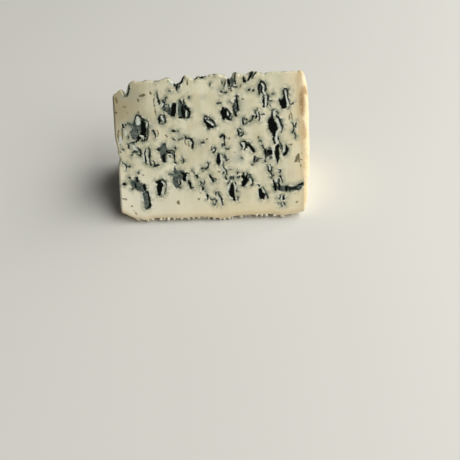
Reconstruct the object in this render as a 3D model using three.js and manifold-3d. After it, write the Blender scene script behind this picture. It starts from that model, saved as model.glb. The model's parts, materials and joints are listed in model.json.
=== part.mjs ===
// A wedge of blue-veined cheese, cut from a tall cylinder of about 14 cm across.
//
// The piece stands on the side that was the cylinder's round outside, which has sagged almost flat.
// Its thin tip, once the middle of the cylinder, is the ragged ridge on top. The wide front face
// leans back, the back face is nearly upright, the left end is a cut, and the right end is the
// cylinder's rounded flat end. Open moulded hollows, ragged and long, break every cut face.
//
// Millimetres, +X along the ridge, front face towards -Y, +Z up, origin under the middle of the box.
import * as THREE from 'three';
import { mergeVertices } from 'three/addons/utils/BufferGeometryUtils.js';
import Module from 'manifold-3d';

// Driving dimensions
const FACE_LENGTH = 92;        // front face, from the cut end to the start of the rounded end
const LEAN = 39.3;             // front face from the upright, in degrees
const BASE_DEPTH = 50;         // front to back at the foot
const FRONT_LIFT = 3;          // the front foot edge hangs this far above the table
const BACK_LIFT = 1.6;         // and the back foot edge this far
const TIP_MEAN = 69;           // usual height of the ridge, measured up the front face
const TIP_THICKNESS = 2.4;     // the ridge is this blunt there
const TIP_DROP = 0.3;          // and its back edge this much lower
const REST_FROM = 11;          // the flat part of the foot, from the front foot edge
const REST_TO = 43;
const INSET_RADIUS = 17;       // radius of the circle that fits in the section
const CUT_EDGE = 0.7;          // small round on the edge of the cut end
const CUT_FADE = 9;            // the cut end's own outline fades away over this length of the face
const END_ROUND_DEPTH = 5;     // how far the rounded end comes in before it turns flat
const STATION_STEP = 2.2;      // spacing of the sections along the ridge
const CAP_RINGS = 5;           // rings from an end's edge to its middle
const END_ROWS = [0.45, 0.75, 0.93, 1];  // where the rounded end's rows stand, as shares of its bulge

// Corner rounds, in the order of the section: front foot, rest front, rest back, back foot, tip, tip
const CORNER_ROUNDS = [1.6, 9, 5, 3.5, 0.9, 0.9];
const CORNER_REACH = 0.45;     // a corner takes no more than this share of a side
const CORNER_STEPS = [2, 3, 2, 3, 1, 1];
const SIDE_STEPS = [1, 4, 1, 7, 1, 9];

// Slow unevenness of every face: its height, and waves as [turn along x, y and z, phase, strength]
const WAVE_HEIGHT = 0.35;
const WAVES = [[0.21, 0, 0.11, 1.3, 1], [0.13, 0.19, -0.27, 4.1, 1], [0.47, -0.23, 0.33, 0, 0.6]];

// Height of the ridge, measured up the front face: it climbs evenly towards the rounded end
const TIP_AT_CUT = 67;
const TIP_AT_ROUND = 70;
const CHIP_DROP = 5.5;         // the ridge's corner over the cut end is broken off, this low
const CHIP_REACH = 9;          // and this far along
// Notches and swells of the ridge: [place along, half width, rise]
const TIP_SWELLS = [
  [5.5, 2, -4], [30.5, 4, -2.5], [35, 3, 1], [38.5, 2.5, -1], [49, 9, 1], [56.5, 2.5, -1.5], [59.5, 2.5, 1.5],
  [68.5, 4, 1.5],
];

// Height of the front foot edge, measured the same way: cut back at both ends, with shallow sags
const FOOT_MEAN = -0.8;
const FOOT_CUT_RISE = 3.5;     // it rises by this much at the cut end
const FOOT_CUT_REACH = 8;
const FOOT_ROUND_RISE = 1;     // and by this much at the rounded end
const FOOT_ROUND_REACH = 7;
const FOOT_SWELLS = [[12, 4, -1], [50, 9, -1.2], [81, 5, -0.8]];

// The cut end steps out towards the ridge, with one dent: heights are measured up the front face
const CUT_OUT = 1;
const CUT_STEP_FROM = 34;
const CUT_STEP_TO = 41;
const CUT_SWELLS = [[29.5, 3.5, -1]];

// The rounded end stands out most at its middle and falls away to the foot and to the ridge
const END_BULGE = 4.2;
const END_FALL = 2.6;
const END_MIDDLE = 42;
const END_TOP = 71;
const END_SWELLS = [[13, 5, -1]];

// Hollows of the front face: [along, up, half width, half height, tilt to the right, depth]
const FRONT_HOLLOWS = [
  // left third, from the ridge down
  [5.9, 63.4, 1.4, 2.8, 20, 2.4], [31.9, 66, 1.4, 3.8, 38, 3], [29, 66.2, 0.9, 2.8, -38, 2],
  [21.4, 58, 0.9, 3.7, -8, 2.2], [24.3, 55.4, 1.1, 2.6, 25, 1.4], [26.4, 52.6, 1.3, 2.4, 0, 1.6],
  [28.3, 53.2, 1.6, 3.2, 0, 4], [32.8, 53.6, 1.9, 4.5, -6, 3.2], [35.5, 51.2, 1.4, 2.7, 5, 3],
  [22.6, 48.7, 1.9, 2.6, 0, 2.6], [3.4, 45.8, 1.1, 1.5, 0, 1.8], [10.7, 49.2, 1.6, 2.1, 0, 2],
  [8.8, 43.2, 3, 3.4, 0, 2.2], [13, 44.3, 2.5, 4.4, 0, 4.2], [19, 41.4, 0.8, 1.7, 0, 1.5],
  [9.3, 33.6, 2, 2.1, 0, 1], [0.1, 33.4, 1, 1.4, 0, 2.6], [13.6, 31, 0.9, 4.1, 0, 2.6],
  [16, 30.4, 0.9, 4.8, -3, 2.6], [22.8, 31.6, 1.2, 4.5, 0, 2.8], [24.2, 34.2, 2.8, 1.5, 0, 1.5],
  [28, 30.6, 0.9, 3.6, 5, 1.6], [4, 27, 1, 2.1, 60, 1.5], [7.9, 17.6, 2.6, 3.2, 0, 2.2],
  [11.8, 15.4, 1.7, 2.1, 0, 3], [13.4, 9.6, 1.6, 4.6, -8, 3.2], [20, 15.2, 1.8, 4.4, -3, 4.4],
  [22.2, 16, 1.1, 2.8, -10, 2], [28.8, 20, 2.1, 4.8, 0, 2.2], [32, 20.2, 1.6, 2.5, 20, 3.2],
  // middle third
  [42.6, 68.6, 2.4, 0.9, 5, 1.8], [56, 66, 1.3, 3.6, 0, 3.4], [58.9, 66.8, 1, 4, 0, 2.6],
  [64, 66.4, 1.2, 1.7, 0, 2.6], [66.9, 68.6, 1.1, 3.4, 40, 2.8], [59.1, 53.8, 1.5, 4.8, 8, 2.8],
  [53.4, 50.6, 1.9, 3.3, 0, 4], [56.5, 49.5, 1.1, 2.5, 0, 2.2], [46, 46.4, 1.8, 3.4, -42, 3.2],
  [36.6, 36.9, 0.8, 2.8, -12, 2.2], [53, 37.4, 0.8, 3, -3, 1.5], [60.8, 41.2, 1.3, 2.1, 0, 2.4],
  [62.4, 34.6, 1.6, 2.3, 0, 2.8], [66.3, 33.2, 1, 2.8, -35, 2.6], [50, 28.3, 1.5, 3.5, 0, 4],
  [52.8, 22.8, 0.9, 3.3, -22, 1.8], [42.9, 24.8, 1.9, 1.3, 30, 1.6], [35.1, 15.9, 0.8, 2.3, -20, 2.4],
  [41.2, 16.2, 1, 3.4, -15, 1.8], [45.9, 18.6, 0.9, 2.5, -38, 2.2], [50, 8.9, 0.9, 3.4, -18, 2.4],
  [46.9, 7.4, 1.4, 1.7, 0, 1.6], [55.9, 11.9, 1.7, 4.5, -8, 4.8], [62.5, 17.2, 2.1, 3.5, -5, 4.2],
  // right third
  [72.3, 62, 1.8, 3.7, 0, 3.6], [74.1, 56, 1.5, 3.8, 0, 3.6], [82.4, 55.2, 1.6, 3.3, 5, 4.2],
  [84, 59.2, 1.3, 3, 8, 2.8], [77.7, 45, 2.6, 6, -3, 5], [81.3, 44.6, 0.9, 4, -8, 2],
  [78.1, 37.4, 1.3, 3, -15, 3.2], [78.6, 30.8, 1.6, 4.8, -6, 4.4], [74.4, 31, 1.9, 2, 0, 1.8],
  [83.1, 31.4, 1.4, 2.7, 18, 3.2], [88, 41.4, 0.8, 3.7, -8, 2], [69, 49, 1.3, 2.1, 0, 1.8],
  [63, 46.5, 1.3, 1.6, 0, 2], [68.3, 27.4, 1, 1.9, 10, 1.8], [75.2, 22.2, 0.9, 3.3, -20, 2.2],
  [71, 10.7, 1.5, 3.7, -18, 4.2], [77.8, 14.2, 1.2, 3.2, 0, 3.2], [80.2, 17.6, 0.9, 2.8, 5, 2],
  [82, 12.6, 2.9, 1.5, 0, 2.6], [87.2, 12.6, 3.2, 1.1, 8, 2.4], [92.2, 14.5, 2.8, 0.9, 14, 2.4],
  [80, 8.5, 0.7, 1.7, 0, 2], [82.2, 6.8, 1, 3, -4, 2.4],
];

// Hollows of the back face and the cut end: sizes drawn between these bounds, on a shaken lattice
const LATTICE = 12;
const LATTICE_SHAKE = 3;
const HALF_WIDTH = [0.9, 1.9];
const HALF_HEIGHT = [1.6, 3.8];
const HOLLOW_DEPTH = [1.6, 3.8];
const HOLLOW_TILT = 28;
const SOUND_MARGIN = 9;        // no hollows this near the foot or the rounded end
const CUT_MARGIN = 3;          // and on the back face none this near the cut end
const BACK_EDGE_MARGIN = 4;    // on the cut end they keep this far from the back face
const FRONT_EDGE_MARGIN = 5;   // and this far from the front face
const HOLLOW_RAGGED = 0.16;    // uneven size of each hollow, as a share of its radius
const HOLLOW_SIDES = 8;
const RAGGED_SEED = 11;
const BACK_SEED = 5;
const CUT_SEED = 23;

// Half outline of a hollow, as shares of its radius and depth: floor, wall, and clear above the face
const BOWL = [[0, -1], [0.88, -0.62], [1.1, 0.4], [1.1, 1.2], [0, 1.2]];

const WELD = 1e-4;             // corners of a hollow nearer to each other than this are one

// Random draws: each state is the last times the factor plus the step, within the range
const DICE_FACTOR = 1664525;
const DICE_STEP = 1013904223;
const DICE_RANGE = 2 ** 32;

const PASTE_COLOUR = 0xd8cfaf;
const PASTE_ROUGHNESS = 0.55;

const DEG = Math.PI / 180;
const { smoothstep } = THREE.MathUtils;
const FACE_UP = new THREE.Vector3(0, Math.sin(LEAN * DEG), Math.cos(LEAN * DEG));
const TIP_TOP = new THREE.Vector3(0, TIP_MEAN * FACE_UP.y + TIP_THICKNESS, FRONT_LIFT + TIP_MEAN * FACE_UP.z);
const BACK_SLOPE = (TIP_TOP.y - BASE_DEPTH) / (TIP_TOP.z - BACK_LIFT);

/** Sum of soft swells: each is its rise times (1 - t^2)^2, with t the distance over its half width. */
function swell(swells, at) {
  return swells.reduce((total, [middle, halfWidth, rise]) => {
    const t = Math.min(1, Math.abs(at - middle) / halfWidth);
    return total + rise * (1 - t * t) ** 2;
  }, 0);
}

/** Height of the ridge: an even climb, less the broken corner, with its swells. */
function tipHeight(along) {
  const climb = TIP_AT_CUT + (TIP_AT_ROUND - TIP_AT_CUT) * along / FACE_LENGTH;
  const chip = CHIP_DROP * (1 - smoothstep(along, 0, CHIP_REACH));
  return climb - chip + swell(TIP_SWELLS, along);
}

/** Height of the front foot edge: its mean, raised smoothly near both ends, with its sags. */
function footHeight(along) {
  const nearCut = 1 - smoothstep(along, 0, FOOT_CUT_REACH);
  const nearRound = smoothstep(along, FACE_LENGTH - FOOT_ROUND_REACH, FACE_LENGTH);
  return FOOT_MEAN + FOOT_CUT_RISE * nearCut + FOOT_ROUND_RISE * nearRound + swell(FOOT_SWELLS, along);
}

/** How far the cut end stands out at a height up the front face: a smooth step and its dent. */
function cutOut(up) {
  return CUT_OUT * smoothstep(up, CUT_STEP_FROM, CUT_STEP_TO) + swell(CUT_SWELLS, up);
}

/** How far the rounded end stands out there: its bulge, less the fall times the cube of t. */
function endOut(up) {
  const reach = up > END_MIDDLE ? END_TOP - END_MIDDLE : END_MIDDLE;
  const t = Math.min(1, Math.abs(up - END_MIDDLE) / reach);
  return END_BULGE - END_FALL * t ** 3 + swell(END_SWELLS, up);
}

/** Slow unevenness: crossed waves, between -1 and 1. */
function wave(x, y, z) {
  const sum = WAVES.reduce((total, [a, b, c, phase, strength]) => (
    total + strength * Math.sin(a * x + b * y + c * z + phase)
  ), 0);
  return sum / WAVES.reduce((total, [, , , , strength]) => total + strength, 0);
}

/** Back edge of the ridge, on the flat back face: where the ridge is broken low, the break falls back. */
function tipBack(tipY, tipZ) {
  const backY = (z) => BASE_DEPTH + BACK_SLOPE * (z - BACK_LIFT);
  const broken = Math.max(0, backY(tipZ) - tipY - TIP_THICKNESS);
  const z = tipZ - TIP_DROP - broken;
  return [backY(z), z];
}

/** Corners of the section at a place along the ridge, as (y, z), y measured from the front foot. */
function sectionCorners(along) {
  const foot = footHeight(along);
  const tip = tipHeight(along);
  const tipY = tip * FACE_UP.y;
  const tipZ = FRONT_LIFT + tip * FACE_UP.z;
  return [
    [foot * FACE_UP.y, FRONT_LIFT + foot * FACE_UP.z],
    [REST_FROM, 0],
    [REST_TO, 0],
    [BASE_DEPTH, BACK_LIFT],
    tipBack(tipY, tipZ),
    [tipY, tipZ],
  ];
}

/** The section as a closed loop: each corner is a quadratic curve, each side is split evenly. */
function sectionLoop(along) {
  const corners = sectionCorners(along).map(([y, z]) => new THREE.Vector2(y, z));
  const count = corners.length;
  const arcs = corners.map((corner, k) => {
    const before = corners[(k + count - 1) % count];
    const after = corners[(k + 1) % count];
    const shortest = Math.min(corner.distanceTo(before), corner.distanceTo(after));
    const reach = Math.min(CORNER_ROUNDS[k], CORNER_REACH * shortest);
    const start = corner.clone().lerp(before, reach / corner.distanceTo(before));
    const end = corner.clone().lerp(after, reach / corner.distanceTo(after));
    return new THREE.QuadraticBezierCurve(start, corner, end).getPoints(CORNER_STEPS[k]);
  });
  const loop = [];
  arcs.forEach((arc, k) => {
    loop.push(...arc);
    const from = arc[arc.length - 1];
    const to = arcs[(k + 1) % count][0];
    const steps = SIDE_STEPS[k];
    for (let step = 1; step < steps; step += 1) loop.push(from.clone().lerp(to, step / steps));
  });
  return loop;
}

/** Middle of the circle that fits between the front face, the foot and the back face. */
function sectionMiddle(along) {
  const [front, , , back, , tip] = sectionCorners(along).map(([y, z]) => new THREE.Vector2(y, z));
  const a = back.distanceTo(tip);
  const b = front.distanceTo(tip);
  const c = front.distanceTo(back);
  const middle = front.clone().multiplyScalar(a).addScaledVector(back, b).addScaledVector(tip, c);
  return middle.divideScalar(a + b + c);
}

/**
 * Where the sections stand: the place along the face, the share of the rounded end's bulge past it,
 * and how far each is drawn in from the full outline.
 */
function stations() {
  const rows = [];
  for (let ring = 1; ring <= CAP_RINGS; ring += 1) {
    const inset = INSET_RADIUS - (INSET_RADIUS - CUT_EDGE) * ring / CAP_RINGS;
    rows.push({ along: 0, past: 0, inset });
  }
  const steps = Math.round(FACE_LENGTH / STATION_STEP);
  for (let step = 0; step <= steps; step += 1) {
    const along = CUT_EDGE + (FACE_LENGTH - CUT_EDGE) * step / steps;
    rows.push({ along, past: 0, inset: 0 });
  }
  for (const past of END_ROWS) {
    const inset = END_ROUND_DEPTH * (1 - Math.sqrt(1 - past * past));
    rows.push({ along: FACE_LENGTH, past, inset });
  }
  for (let ring = 1; ring < CAP_RINGS; ring += 1) {
    const inset = END_ROUND_DEPTH + (INSET_RADIUS - END_ROUND_DEPTH) * ring / CAP_RINGS;
    rows.push({ along: FACE_LENGTH, past: 1, inset });
  }
  return rows;
}

/** Place along the piece of a point at a height, moved out by the outline of the end it is near. */
function placeAlong(along, past, z) {
  const up = (z - FRONT_LIFT) / FACE_UP.z;
  const nearCut = Math.max(0, 1 - along / CUT_FADE);
  return along + past * endOut(up) - nearCut * cutOut(up);
}

/** A point of the uneven skin: the section point drawn in, then moved by the slow wave. */
function skinPoint(point, middle, { along, past, inset }) {
  const scale = 1 - inset / INSET_RADIUS;
  const y = middle.x + (point.x - middle.x) * scale;
  const z = middle.y + (point.y - middle.y) * scale;
  const x = placeAlong(along, past, z);
  const height = WAVE_HEIGHT * wave(along, y, z);
  const away = new THREE.Vector2(point.x - middle.x, point.y - middle.y).normalize();
  const onEnd = inset > CUT_EDGE ? Math.sign(along - FACE_LENGTH / 2) : 0;
  const free = Math.min(1, z / FRONT_LIFT);
  const side = (1 - Math.abs(onEnd)) * height * free;
  return new THREE.Vector3(x + onEnd * height, y + away.x * side, z + away.y * side);
}

/** The body: sections joined in rows, with both ends closed on their middle points. */
function wedgeBody() {
  const rows = stations();
  const positions = [];
  const faces = [];
  const width = sectionLoop(0).length;
  for (const row of rows) {
    const middle = sectionMiddle(row.along);
    for (const point of sectionLoop(row.along)) positions.push(...skinPoint(point, middle, row).toArray());
  }
  const at = (row, column) => row * width + (column % width);
  for (let row = 0; row + 1 < rows.length; row += 1) {
    for (let column = 0; column < width; column += 1) {
      faces.push(at(row, column), at(row, column + 1), at(row + 1, column));
      faces.push(at(row, column + 1), at(row + 1, column + 1), at(row + 1, column));
    }
  }
  for (const [along, past] of [[0, 0], [FACE_LENGTH, 1]]) {
    const [y, z] = sectionMiddle(along).toArray();
    positions.push(placeAlong(along, past, z), y, z);
  }
  const pole = rows.length * width;
  const last = rows.length - 1;
  for (let column = 0; column < width; column += 1) {
    faces.push(pole, at(0, column + 1), at(0, column));
    faces.push(pole + 1, at(last, column), at(last, column + 1));
  }
  const body = new THREE.BufferGeometry();
  body.setAttribute('position', new THREE.Float32BufferAttribute(positions, 3));
  body.setIndex(faces);
  return body;
}

/** Seeded random numbers from 0 to 1: a linear congruential generator. */
function dice(seed) {
  let state = seed;
  return () => {
    state = (Math.imul(DICE_FACTOR, state) + DICE_STEP) >>> 0;
    return state / DICE_RANGE;
  };
}

/** Hollows on a shaken lattice, kept inside the outline that the given test allows. */
function scatterHollows(seed, width, height, allowed) {
  const roll = dice(seed);
  const between = ([low, high]) => low + (high - low) * roll();
  const hollows = [];
  for (let up = LATTICE / 2; up < height; up += LATTICE) {
    for (let across = LATTICE / 2; across < width; across += LATTICE) {
      const place = [across + LATTICE_SHAKE * (2 * roll() - 1), up + LATTICE_SHAKE * (2 * roll() - 1)];
      const size = [between(HALF_WIDTH), between(HALF_HEIGHT)];
      const tilt = HOLLOW_TILT * (2 * roll() - 1);
      const depth = between(HOLLOW_DEPTH);
      if (allowed(...place)) hollows.push([...place, ...size, tilt, depth]);
    }
  }
  return hollows;
}

/** One ragged hollow: an uneven bowl, stretched to its half sizes and turned in its face. */
function hollowShape([across, up, halfWidth, halfHeight, tilt, depth], face, roll) {
  const bowl = new THREE.LatheGeometry(BOWL.map(([x, y]) => new THREE.Vector2(x, y)), HOLLOW_SIDES);
  bowl.rotateX(Math.PI / 2);
  bowl.deleteAttribute('normal');
  bowl.deleteAttribute('uv');
  const shape = mergeVertices(bowl, WELD);
  const points = shape.getAttribute('position');
  const vertex = new THREE.Vector3();
  for (let k = 0; k < points.count; k += 1) {
    vertex.fromBufferAttribute(points, k);
    const spread = 1 + HOLLOW_RAGGED * (2 * roll() - 1);
    vertex.set(vertex.x * spread, vertex.y * spread, vertex.z);
    points.setXYZ(k, vertex.x, vertex.y, vertex.z);
  }
  shape.scale(halfWidth, halfHeight, depth);
  shape.rotateZ(-tilt * DEG);
  shape.translate(across, up, 0);
  shape.applyMatrix4(face);
  return shape;
}

/** Frame of a face: its foot corner, its direction along and its direction up. */
function faceFrame(corner, alongFace, upFace) {
  const outward = alongFace.clone().cross(upFace);
  return new THREE.Matrix4().makeBasis(alongFace, upFace, outward).setPosition(corner);
}

/** A closed geometry as a solid that can be cut. */
function solid(wasm, geometry) {
  const mesh = new wasm.Mesh({
    numProp: 3,
    vertProperties: new Float32Array(geometry.getAttribute('position').array),
    triVerts: new Uint32Array(geometry.getIndex().array),
  });
  return new wasm.Manifold(mesh);
}

/** The largest body of a cut solid, as a geometry: loose scraps are dropped. */
function mainBody(cut) {
  const bodies = cut.decompose();
  const largest = bodies.reduce((best, body) => (body.volume() > best.volume() ? body : best));
  const { vertProperties, triVerts } = largest.getMesh();
  const geometry = new THREE.BufferGeometry();
  geometry.setAttribute('position', new THREE.BufferAttribute(vertProperties, 3));
  geometry.setIndex(new THREE.BufferAttribute(triVerts, 1));
  return geometry;
}

const wasm = await Module();
wasm.setup();

const X = new THREE.Vector3(1, 0, 0);
const Y = new THREE.Vector3(0, 1, 0);
const Z = new THREE.Vector3(0, 0, 1);
const backFoot = new THREE.Vector3(FACE_LENGTH, BASE_DEPTH, BACK_LIFT);
const backUp = new THREE.Vector3(0, TIP_TOP.y - BASE_DEPTH, TIP_TOP.z - BACK_LIFT);
const backHeight = backUp.length();

const frontFace = faceFrame(new THREE.Vector3(0, 0, FRONT_LIFT), X, FACE_UP);
const backFace = faceFrame(backFoot, X.clone().negate(), backUp.clone().normalize());
const cutFace = faceFrame(new THREE.Vector3(0, BASE_DEPTH, 0), Y.clone().negate(), Z);

const onBack = (across, up) => (
  up > SOUND_MARGIN && across > SOUND_MARGIN && across < FACE_LENGTH - CUT_MARGIN
);
const onCut = (across, up) => {
  const behindFront = BASE_DEPTH - across - (up - FRONT_LIFT) * Math.tan(LEAN * DEG);
  return up > SOUND_MARGIN && across > BACK_EDGE_MARGIN && behindFront > FRONT_EDGE_MARGIN;
};

const backHollows = scatterHollows(BACK_SEED, FACE_LENGTH, backHeight, onBack);
const cutHollows = scatterHollows(CUT_SEED, BASE_DEPTH, backHeight, onCut);
const ragged = dice(RAGGED_SEED);
const hollows = [
  ...FRONT_HOLLOWS.map((hollow) => hollowShape(hollow, frontFace, ragged)),
  ...backHollows.map((hollow) => hollowShape(hollow, backFace, ragged)),
  ...cutHollows.map((hollow) => hollowShape(hollow, cutFace, ragged)),
];

let cheese = solid(wasm, wedgeBody());
for (const hollow of hollows) cheese = cheese.subtract(solid(wasm, hollow));
const geometry = mainBody(cheese);

// The origin goes under the middle of the box
geometry.computeBoundingBox();
const { min, max } = geometry.boundingBox;
geometry.translate(-(min.x + max.x) / 2, -(min.y + max.y) / 2, -min.z);
geometry.computeVertexNormals();

const paste = new THREE.MeshStandardMaterial({ color: PASTE_COLOUR, roughness: PASTE_ROUGHNESS });
const wedge = new THREE.Mesh(geometry, paste);
wedge.name = 'cheese_wedge';

const group = new THREE.Group();
group.add(wedge);
export default group;
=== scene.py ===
# %% [markdown]
# # A wedge of blue-veined cheese
# This lesson builds the looks of one piece of soft blue cheese around a plain solid of the same form.
# The solid comes ready made. What it lacks is what makes the cheese real: the ragged hollows in which
# the blue mould grows, pale curls of paste that the knife dragged, stains, streaks, a rind and crumbs.
#
# Sizes are millimetres until the last step of each mesh, which turns them into metres.

# %% The frame
import bpy
import json
import math
import numpy as np
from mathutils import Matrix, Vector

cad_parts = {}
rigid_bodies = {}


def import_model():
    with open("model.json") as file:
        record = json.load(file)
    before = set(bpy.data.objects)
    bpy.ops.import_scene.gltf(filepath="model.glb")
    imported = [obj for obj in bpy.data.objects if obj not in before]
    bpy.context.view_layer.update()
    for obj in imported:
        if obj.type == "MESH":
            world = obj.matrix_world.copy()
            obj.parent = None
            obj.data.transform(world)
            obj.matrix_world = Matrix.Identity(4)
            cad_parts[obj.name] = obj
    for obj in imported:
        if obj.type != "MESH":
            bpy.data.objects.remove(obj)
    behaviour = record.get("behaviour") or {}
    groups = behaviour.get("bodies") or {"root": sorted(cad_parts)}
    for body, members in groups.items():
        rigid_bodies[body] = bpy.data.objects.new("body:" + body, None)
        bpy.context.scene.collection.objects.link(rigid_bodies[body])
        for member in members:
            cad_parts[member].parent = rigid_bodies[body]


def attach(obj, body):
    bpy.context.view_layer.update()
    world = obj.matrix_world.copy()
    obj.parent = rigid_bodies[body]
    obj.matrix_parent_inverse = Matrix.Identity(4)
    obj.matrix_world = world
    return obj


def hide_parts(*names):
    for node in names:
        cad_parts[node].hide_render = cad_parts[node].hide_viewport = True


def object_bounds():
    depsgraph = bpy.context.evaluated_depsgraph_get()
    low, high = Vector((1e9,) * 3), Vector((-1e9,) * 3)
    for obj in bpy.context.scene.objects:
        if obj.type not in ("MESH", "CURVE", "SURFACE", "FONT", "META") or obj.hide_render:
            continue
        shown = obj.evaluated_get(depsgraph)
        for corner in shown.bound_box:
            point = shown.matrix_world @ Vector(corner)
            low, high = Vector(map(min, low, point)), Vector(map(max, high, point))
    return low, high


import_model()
cad_low, cad_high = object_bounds()
MM = 0.001                     # one millimetre in metres
box_low = np.array(cad_low) / MM
box_high = np.array(cad_high) / MM
print("solid's box, mm:", np.round(box_high - box_low, 2))

# %% [markdown]
# ## Four small tools
# Nothing on this cheese is quite straight, so most steps use **value noise**: random heights on a
# lattice, joined by smooth steps. It is the same each run, because each lattice has its own seed.
# The second tool is the smooth step itself, the third adds up noises of several sizes, and the fourth
# turns a colour as written into linear light.


# %% Noise, smooth steps and colours
NOISE_TILE = 256               # lattice cells before the noise repeats


def smooth(share):
    """Smooth step: 0 below 0, 1 above 1, and 3t^2 - 2t^3 between."""
    t = np.clip(share, 0, 1)
    return t * t * (3 - 2 * t)


def noise(x, y, cell, seed):
    """Value noise from -1 to 1: lattice heights, blended across each cell by the smooth step."""
    heights = np.random.default_rng(seed).uniform(-1, 1, (NOISE_TILE, NOISE_TILE))
    column, row = np.floor(x / cell).astype(int), np.floor(y / cell).astype(int)
    right, top = smooth(x / cell - column), smooth(y / cell - row)

    def height(step_x, step_y):
        return heights[(column + step_x) % NOISE_TILE, (row + step_y) % NOISE_TILE]

    low = height(0, 0) * (1 - right) + height(1, 0) * right
    high = height(0, 1) * (1 - right) + height(1, 1) * right
    return low * (1 - top) + high * top


def unevenness(x, y, layers, seed=0):
    """Sum of value noises. Layers are (strength, size in mm, own seed), added to the common seed."""
    return sum(strength * noise(x, y, size, seed + own) for strength, size, own in layers)


def linear(code):
    """sRGB hex to linear light: ((c + 0.055) / 1.055)^2.4 above the dark toe, c / 12.92 in it."""
    shares = [int(code[k:k + 2], 16) / 255 for k in (1, 3, 5)]
    return [*(((c + 0.055) / 1.055) ** 2.4 if c > 0.04 else c / 12.92 for c in shares), 1.0]


print("noise sample:", np.round(noise(np.array([0.2, 5.1]), np.array([3.3, 7.7]), 1.5, 1), 3))

# %% [markdown]
# ## The section of the wedge
# A wheel of this cheese is a tall cylinder, and the piece is a sector of it that lies on the round
# outside. So its section is a leaning triangle: a wide front face, a steep back face, a foot that is
# the old outside, and a blunt tip that was the cylinder's middle. The corners are soft, so each is
# a quadratic curve. The section could be drawn once and swept, but the ridge and the foot edge are
# uneven, so it is worked out at every place along the piece, all places in one array.

# %% Driving sizes of the section
FACE_LENGTH = 92               # front face, from the cut end to the start of the rounded end
LEAN = math.radians(39.3)      # front face from the upright
BASE_DEPTH = 50                # front to back at the foot
FRONT_LIFT = 3                 # the front foot edge hangs this far above the table
BACK_LIFT = 1.6                # and the back foot edge this far
TIP_MEAN = 69                  # usual height of the ridge, measured up the front face
TIP_THICKNESS = 2.4            # the ridge is this blunt there
TIP_DROP = 0.3                 # and its back edge this much lower
REST_FROM, REST_TO = 11, 43    # the flat part of the foot, from the front foot edge
INSET_RADIUS = 17              # radius of the circle that fits in the section
CUT_EDGE = 0.7                 # small round on the edge of the cut end
CUT_FADE = 9                   # the cut end's own outline fades away over this length of the face
END_ROUND_DEPTH = 5            # how far the rounded end comes in before it turns flat
MIDDLE = np.array([47.636, 24.741, 0])      # the frame's origin, from the front left foot corner

# Slow unevenness of every face: its height, and waves as (turn along x, y and z, phase, strength)
WAVE_HEIGHT = 0.35
WAVES = np.array([(0.21, 0, 0.11, 1.3, 1), (0.13, 0.19, -0.27, 4.1, 1), (0.47, -0.23, 0.33, 0, 0.6)])

# Height of the ridge, measured up the front face: it climbs evenly towards the rounded end
TIP_AT_CUT, TIP_AT_ROUND = 67, 70
CHIP_DROP, CHIP_REACH = 5.5, 9 # the ridge's corner over the cut end is broken off, this low, this far
# Notches and swells of the ridge: (place along, half width, rise)
TIP_SWELLS = [(5.5, 2, -4), (30.5, 4, -2.5), (35, 3, 1), (38.5, 2.5, -1), (49, 9, 1), (56.5, 2.5, -1.5),
              (59.5, 2.5, 1.5), (68.5, 4, 1.5)]

# Height of the front foot edge, measured the same way: cut back at both ends, with shallow sags
FOOT_MEAN = -0.8
FOOT_CUT_RISE, FOOT_CUT_REACH = 3.5, 8
FOOT_ROUND_RISE, FOOT_ROUND_REACH = 1, 7
FOOT_SWELLS = [(12, 4, -1), (50, 9, -1.2), (81, 5, -0.8)]

# The cut end steps out towards the ridge, with one dent: heights are measured up the front face
CUT_OUT, CUT_STEP_FROM, CUT_STEP_TO = 1, 34, 41
CUT_SWELLS = [(29.5, 3.5, -1)]

# The rounded end stands out most at its middle and falls away to the foot and to the ridge
END_BULGE, END_FALL, END_MIDDLE, END_TOP = 4.2, 2.6, 42, 71
END_SWELLS = [(13, 5, -1)]

# The ridge is bitten away by up to this much, in bites of two sizes: (share, size in mm, seed, how common)
TIP_RAGGED = 0.7
TIP_BITES = [(0.6, 3.2, 53, 0.5), (0.4, 0.9, 54, 0.4)]
# The foot edge crumbles away by up to this much, unevenly: (strength, size in mm, seed)
FOOT_RAGGED = 0.35
FOOT_CRUMBLE = [(0.6, 4.0, 51), (0.4, 1.3, 52)]
print("front face:", FACE_LENGTH, "mm long, leaning", round(math.degrees(LEAN), 1), "degrees")

# %% Outlines from the driving sizes
FACE_UP = np.array([0, math.sin(LEAN), math.cos(LEAN)])
TIP_TOP = np.array([0, TIP_MEAN * FACE_UP[1] + TIP_THICKNESS, FRONT_LIFT + TIP_MEAN * FACE_UP[2]])
BACK_SLOPE = (TIP_TOP[1] - BASE_DEPTH) / (TIP_TOP[2] - BACK_LIFT)


def swell(swells, at):
    """Sum of soft swells: each is its rise times (1 - t^2)^2, t the distance over its half width."""
    total = 0 * at
    for middle, half_width, rise in swells:
        t = np.clip(np.abs(at - middle) / half_width, 0, 1)
        total = total + rise * (1 - t * t) ** 2
    return total


def foot_height(along):
    """The front foot edge: its mean, raised near both ends, its sags, less what crumbled off it."""
    near_cut = 1 - smooth(along / FOOT_CUT_REACH)
    near_round = smooth((along - FACE_LENGTH + FOOT_ROUND_REACH) / FOOT_ROUND_REACH)
    line = FOOT_MEAN + FOOT_CUT_RISE * near_cut + FOOT_ROUND_RISE * near_round + swell(FOOT_SWELLS, along)
    return line + FOOT_RAGGED * (0.5 + 0.5 * unevenness(along, 0 * along, FOOT_CRUMBLE))


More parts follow.
